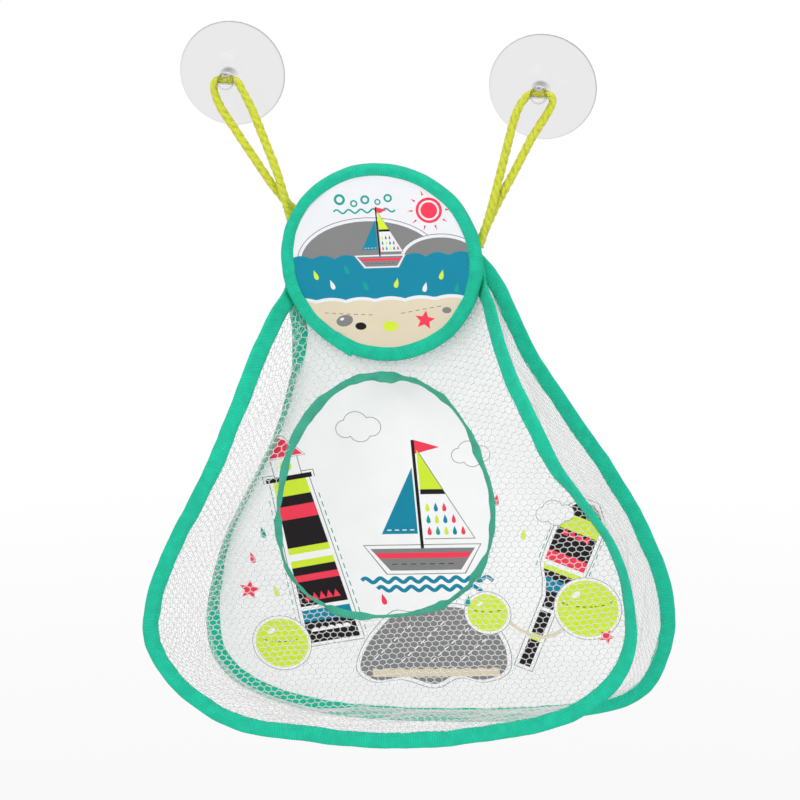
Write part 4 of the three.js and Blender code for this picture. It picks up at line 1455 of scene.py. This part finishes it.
class ORGANIZER_OT_head(bpy.types.Operator):
    """Makes the padded head with its print, backing and tape"""

    bl_idname = "organizer.head"
    bl_label = "Padded head"

    def execute(self, context):
        palette = print_palette(context.scene.organizer_print)
        outline = oval(0, 0, PAD_RADIUS, steps=160)
        pad = cover_piece("head_printed_pad", outline, head_design(), 4.5, palette, head_front, 4.0)
        material = printed_material("printed_head")
        finish_piece(pad, "bag", "white_cover", material, "head_front_cover", "head_foam_core")
        self.make_backing()
        self.make_tape(context.scene.organizer_tape)
        return {"FINISHED"}

    def make_backing(self, name="head_plain_backing", hollow=0.5, thick=0.5):
        rings = [0, 8, 16, 24, 32, 40, 46, 50, 53, PAD_RADIUS]
        rim = -HEAD_MIDDLE_Y - 1.75
        profile = [(r, rim - hollow * (1 - (r / PAD_RADIUS) ** 2)) for r in rings]
        profile += [(r, h + thick) for r, h in reversed(profile)]
        mesh = lathe_mesh(name, profile, 96)
        smooth(mesh, 50)
        backing = new_object(name, mesh, BAG)
        finish_piece(backing, "bag", "white_cover", backing_material(), "head_backing")

    def make_tape(self, settings, lap_steps=12):
        """The tape goes once round the head, and its end is lapped over its start."""
        width = settings.head_width
        ring = [head_edge(-turn) for turn in full_turn(300)]
        lap = []
        for i in range(lap_steps + 1):
            out = 0.35 + 1.3 * (1 - i / lap_steps) ** 2
            lap.append(head_edge(math.radians(-112 - 13 * i / lap_steps), out))
        first = tape_outline(width, HEAD_HALF, HEAD_HALF - 0.95, 0.5)
        raised = tape_outline(width + 0.6, HEAD_HALF + 0.4, HEAD_HALF - 0.5, 0.45)
        pieces = []
        for name, edge, closed, outline, loose, seed in (
            ("head_edge_tape", ring, True, first, 0.06, 2.5),
            ("tape_lap", lap, False, raised, 0.03, 5.5),
        ):
            edge = edge, [-p.normalized() for p in edge]
            shape = (edge, closed, outline, head_place, loose, seed, head_widening)
            pieces.append(make_tape(name, *shape))
        tape = join_objects(pieces, "head_tape")
        material = tape_material(settings, settings.colour)
        finish_piece(tape, "bag", "teal_tape", material, "head_binding")


class ORGANIZER_OT_back(bpy.types.Operator):
    """Makes the printed back panel"""

    bl_idname = "organizer.back"
    bl_label = "Back panel"

    def execute(self, context):
        palette = print_palette(context.scene.organizer_print)
        # The panel's ground is partly its own white and partly painted light against the net's
        # shade in the pouch.
        palette["white"] = palette["panel"]
        edge = back_edge(3)
        outline = [tuple(p) for p in inset(edge, 1.1)]
        creases = inset(edge, TAPE_WIDTH / 2) + inset(edge, TAPE_WIDTH + 0.4)

        def place(x, z, behind):
            return back_place(x, z, behind - 0.25)

        panel = cover_piece(
            "printed_back_panel", outline, back_design(), 5, palette, place, 0.5, creases
        )
        finish_piece(panel, "bag", "white_cover", printed_material("printed_back"), "back_panel")
        size = tuple((max(line) - min(line)) * MM for line in zip(*outline))
        return {"FINISHED"}


# Stitches

class ORGANIZER_OT_stitches(bpy.types.Operator):
    """Sews a line of stitches along each wide tape, on both of its faces"""

    bl_idname = "organizer.stitches"
    bl_label = "Stitches"

    def execute(self, context):
        settings = context.scene.organizer_tape
        material = thread_material()
        spots, edges = [], []
        for line, closed in self.lines(settings):
            first = len(spots)
            spots += line
            edges += [(first + i, first + i + 1) for i in range(len(line) - 1)]
            if closed:
                edges.append((len(spots) - 1, first))
        piece = new_object("tape_stitches", mesh_from("tape_stitches", spots, [], edges), BAG)
        sizes = {"Stitch length": 2.0 * MM, "Stitch pitch": 2.9 * MM, "Thread radius": 0.17 * MM}
        grow(piece, stitch_tree(material), sizes)
        finish_piece(piece, "bag", "teal_tape", material)
        return {"FINISHED"}

    def lines(self, settings):
        """Each line of stitches, and whether it is closed."""
        for _, edge, closed, place, _ in wide_edges():
            for half in (-1.06, 1.06):
                yield [place(*p, half) for p in inset(edge, settings.width - 1.6)], closed
        sewn = settings.head_width - 1.5
        ring = map(head_edge, full_turn(240))
        line = [p - p.normalized() * sewn * head_widening(p) for p in ring]
        for side in (-1, 1):
            yield [head_place(*p, side * (HEAD_HALF - 0.2)) for p in line], True


# Stage

FLOOR_Z = -0.9


def seen_ray(tree):
    """One for a ray from the camera, off a gloss or through clear plastic."""
    rays = add_node(tree, "ShaderNodeLightPath", {}).outputs
    seen = rays["Is Camera Ray"]
    for ray in ("Is Glossy Ray", "Is Transmission Ray"):
        most = add_node(tree, "ShaderNodeMath", {0: seen, 1: rays[ray]}, operation="MAXIMUM")
        seen = most.outputs[0]
    return seen


def stand(scene, data, place, towards):
    """Puts a camera or a lamp at a place, turned in a direction."""
    piece = bpy.data.objects.new(data.name, data)
    piece.location = place
    piece.rotation_euler = towards.to_track_quat("-Z", "Y").to_euler()
    scene.collection.objects.link(piece)
    return piece


class ORGANIZER_OT_stage(bpy.types.Operator):
    """Sets the camera, the lamps and the pale floor"""

    bl_idname = "organizer.stage"
    bl_label = "Stage"

    def execute(self, context):
        scene = context.scene
        scene.view_settings.view_transform = "Standard"
        self.set_camera(scene)
        self.set_world(scene)
        self.add_lamps(scene)
        self.add_floor()
        return {"FINISHED"}

    def set_camera(self, scene):
        turn, rise = math.radians(9.5), math.radians(20.5)
        target = Vector((7.5, 0, -189.7)) * MM
        flat = math.cos(rise)
        away = Vector((math.sin(turn) * flat, -math.cos(turn) * flat, math.sin(rise)))
        data = bpy.data.cameras.new("photo_camera")
        data.lens, data.sensor_width, data.clip_end = 156.59, 36, 20
        scene.camera = stand(scene, data, target + away * 2.0, -away)

    def set_world(self, scene):
        world = scene.world or bpy.data.worlds.new("studio")
        scene.world = world
        world.use_nodes = True
        share = ramp(world.node_tree, seen_ray(world.node_tree), 0, 1, 0.72)
        plug(world.node_tree.nodes["Background"], {"Color": (1, 1, 1, 1), "Strength": share})

    def add_lamps(self, scene):
        for name, place, size, power in (
            ("key_lamp", (-0.7, -1.5, 1.1), 1.1, 12.0),
            ("fill_lamp", (1.2, -1.2, 0.3), 1.2, 6.2),
            ("top_lamp", (0.1, -0.2, 1.4), 1.2, 4.6),
        ):
            data = bpy.data.lights.new(name, "AREA")
            data.shape, data.size, data.energy = "SQUARE", size, power
            stand(scene, data, place, Vector((0, 0, -0.2)) - Vector(place))

    def add_floor(self):
        """A pale floor. To the camera it is mostly white, and wholly so far from the object, but it
        keeps the object's shadow."""
        material, tree, shader = new_material("pale_floor", (0.85, 0.85, 0.85), 0.9)
        white = add_node(tree, "ShaderNodeEmission", {"Color": (1, 1, 1, 1)})
        place = add_node(tree, "ShaderNodeTexCoord", {}).outputs["Object"]
        away = add_node(tree, "ShaderNodeVectorMath", {0: place}, operation="LENGTH")
        share = ramp(tree, away.outputs["Value"], 1.2, 1.9, 0.75)
        both = add_node(tree, "ShaderNodeMath", {0: seen_ray(tree), 1: share}, operation="MULTIPLY")
        mix = add_node(tree, "ShaderNodeMixShader", {
            0: both.outputs[0], 1: shader.outputs[0], 2: white.outputs[0],
        })
        plug(tree.nodes["Material Output"], {0: mix.outputs[0]})
        spots = [(x, y, FLOOR_Z) for x, y in ((-6, -6), (6, -6), (6, 6), (-6, 6))]
        floor = new_object("pale_floor", mesh_from("pale_floor", spots, [(0, 1, 2, 3)]))
        floor.data.materials.append(material)


OPERATORS = (
    ORGANIZER_OT_stage, ORGANIZER_OT_cords, ORGANIZER_OT_cups, ORGANIZER_OT_head, ORGANIZER_OT_back,
    ORGANIZER_OT_tapes, ORGANIZER_OT_nets, ORGANIZER_OT_stitches,
)


class ORGANIZER_PT_panel(bpy.types.Panel):
    """Lists the steps and the settings"""

    bl_label = "Bath toy organizer"
    bl_idname = "ORGANIZER_PT_panel"
    bl_space_type = "VIEW_3D"
    bl_region_type = "UI"
    bl_category = "Organizer"

    def draw(self, context):
        for operator in OPERATORS:
            self.layout.operator(operator.bl_idname)
        for name, group in SETTINGS.items():
            box = self.layout.box()
            for key in group.__annotations__:
                box.prop(getattr(context.scene, name), key)


def register():
    for group in SETTINGS.values():
        bpy.utils.register_class(group)
    for item in (*OPERATORS, ORGANIZER_PT_panel):
        bpy.utils.register_class(item)
    for name, group in SETTINGS.items():
        setattr(bpy.types.Scene, name, PointerProperty(type=group))


def unregister():
    for name in SETTINGS:
        delattr(bpy.types.Scene, name)
    for item in (ORGANIZER_PT_panel, *reversed(OPERATORS)):
        bpy.utils.unregister_class(item)
    for group in reversed(list(SETTINGS.values())):
        bpy.utils.unregister_class(group)


def main():
    register()
    for step in ("stage", "cords", "cups", "head", "back", "tapes", "nets", "stitches"):
        getattr(bpy.ops.organizer, step)()


if __name__ == "__main__":
    main()
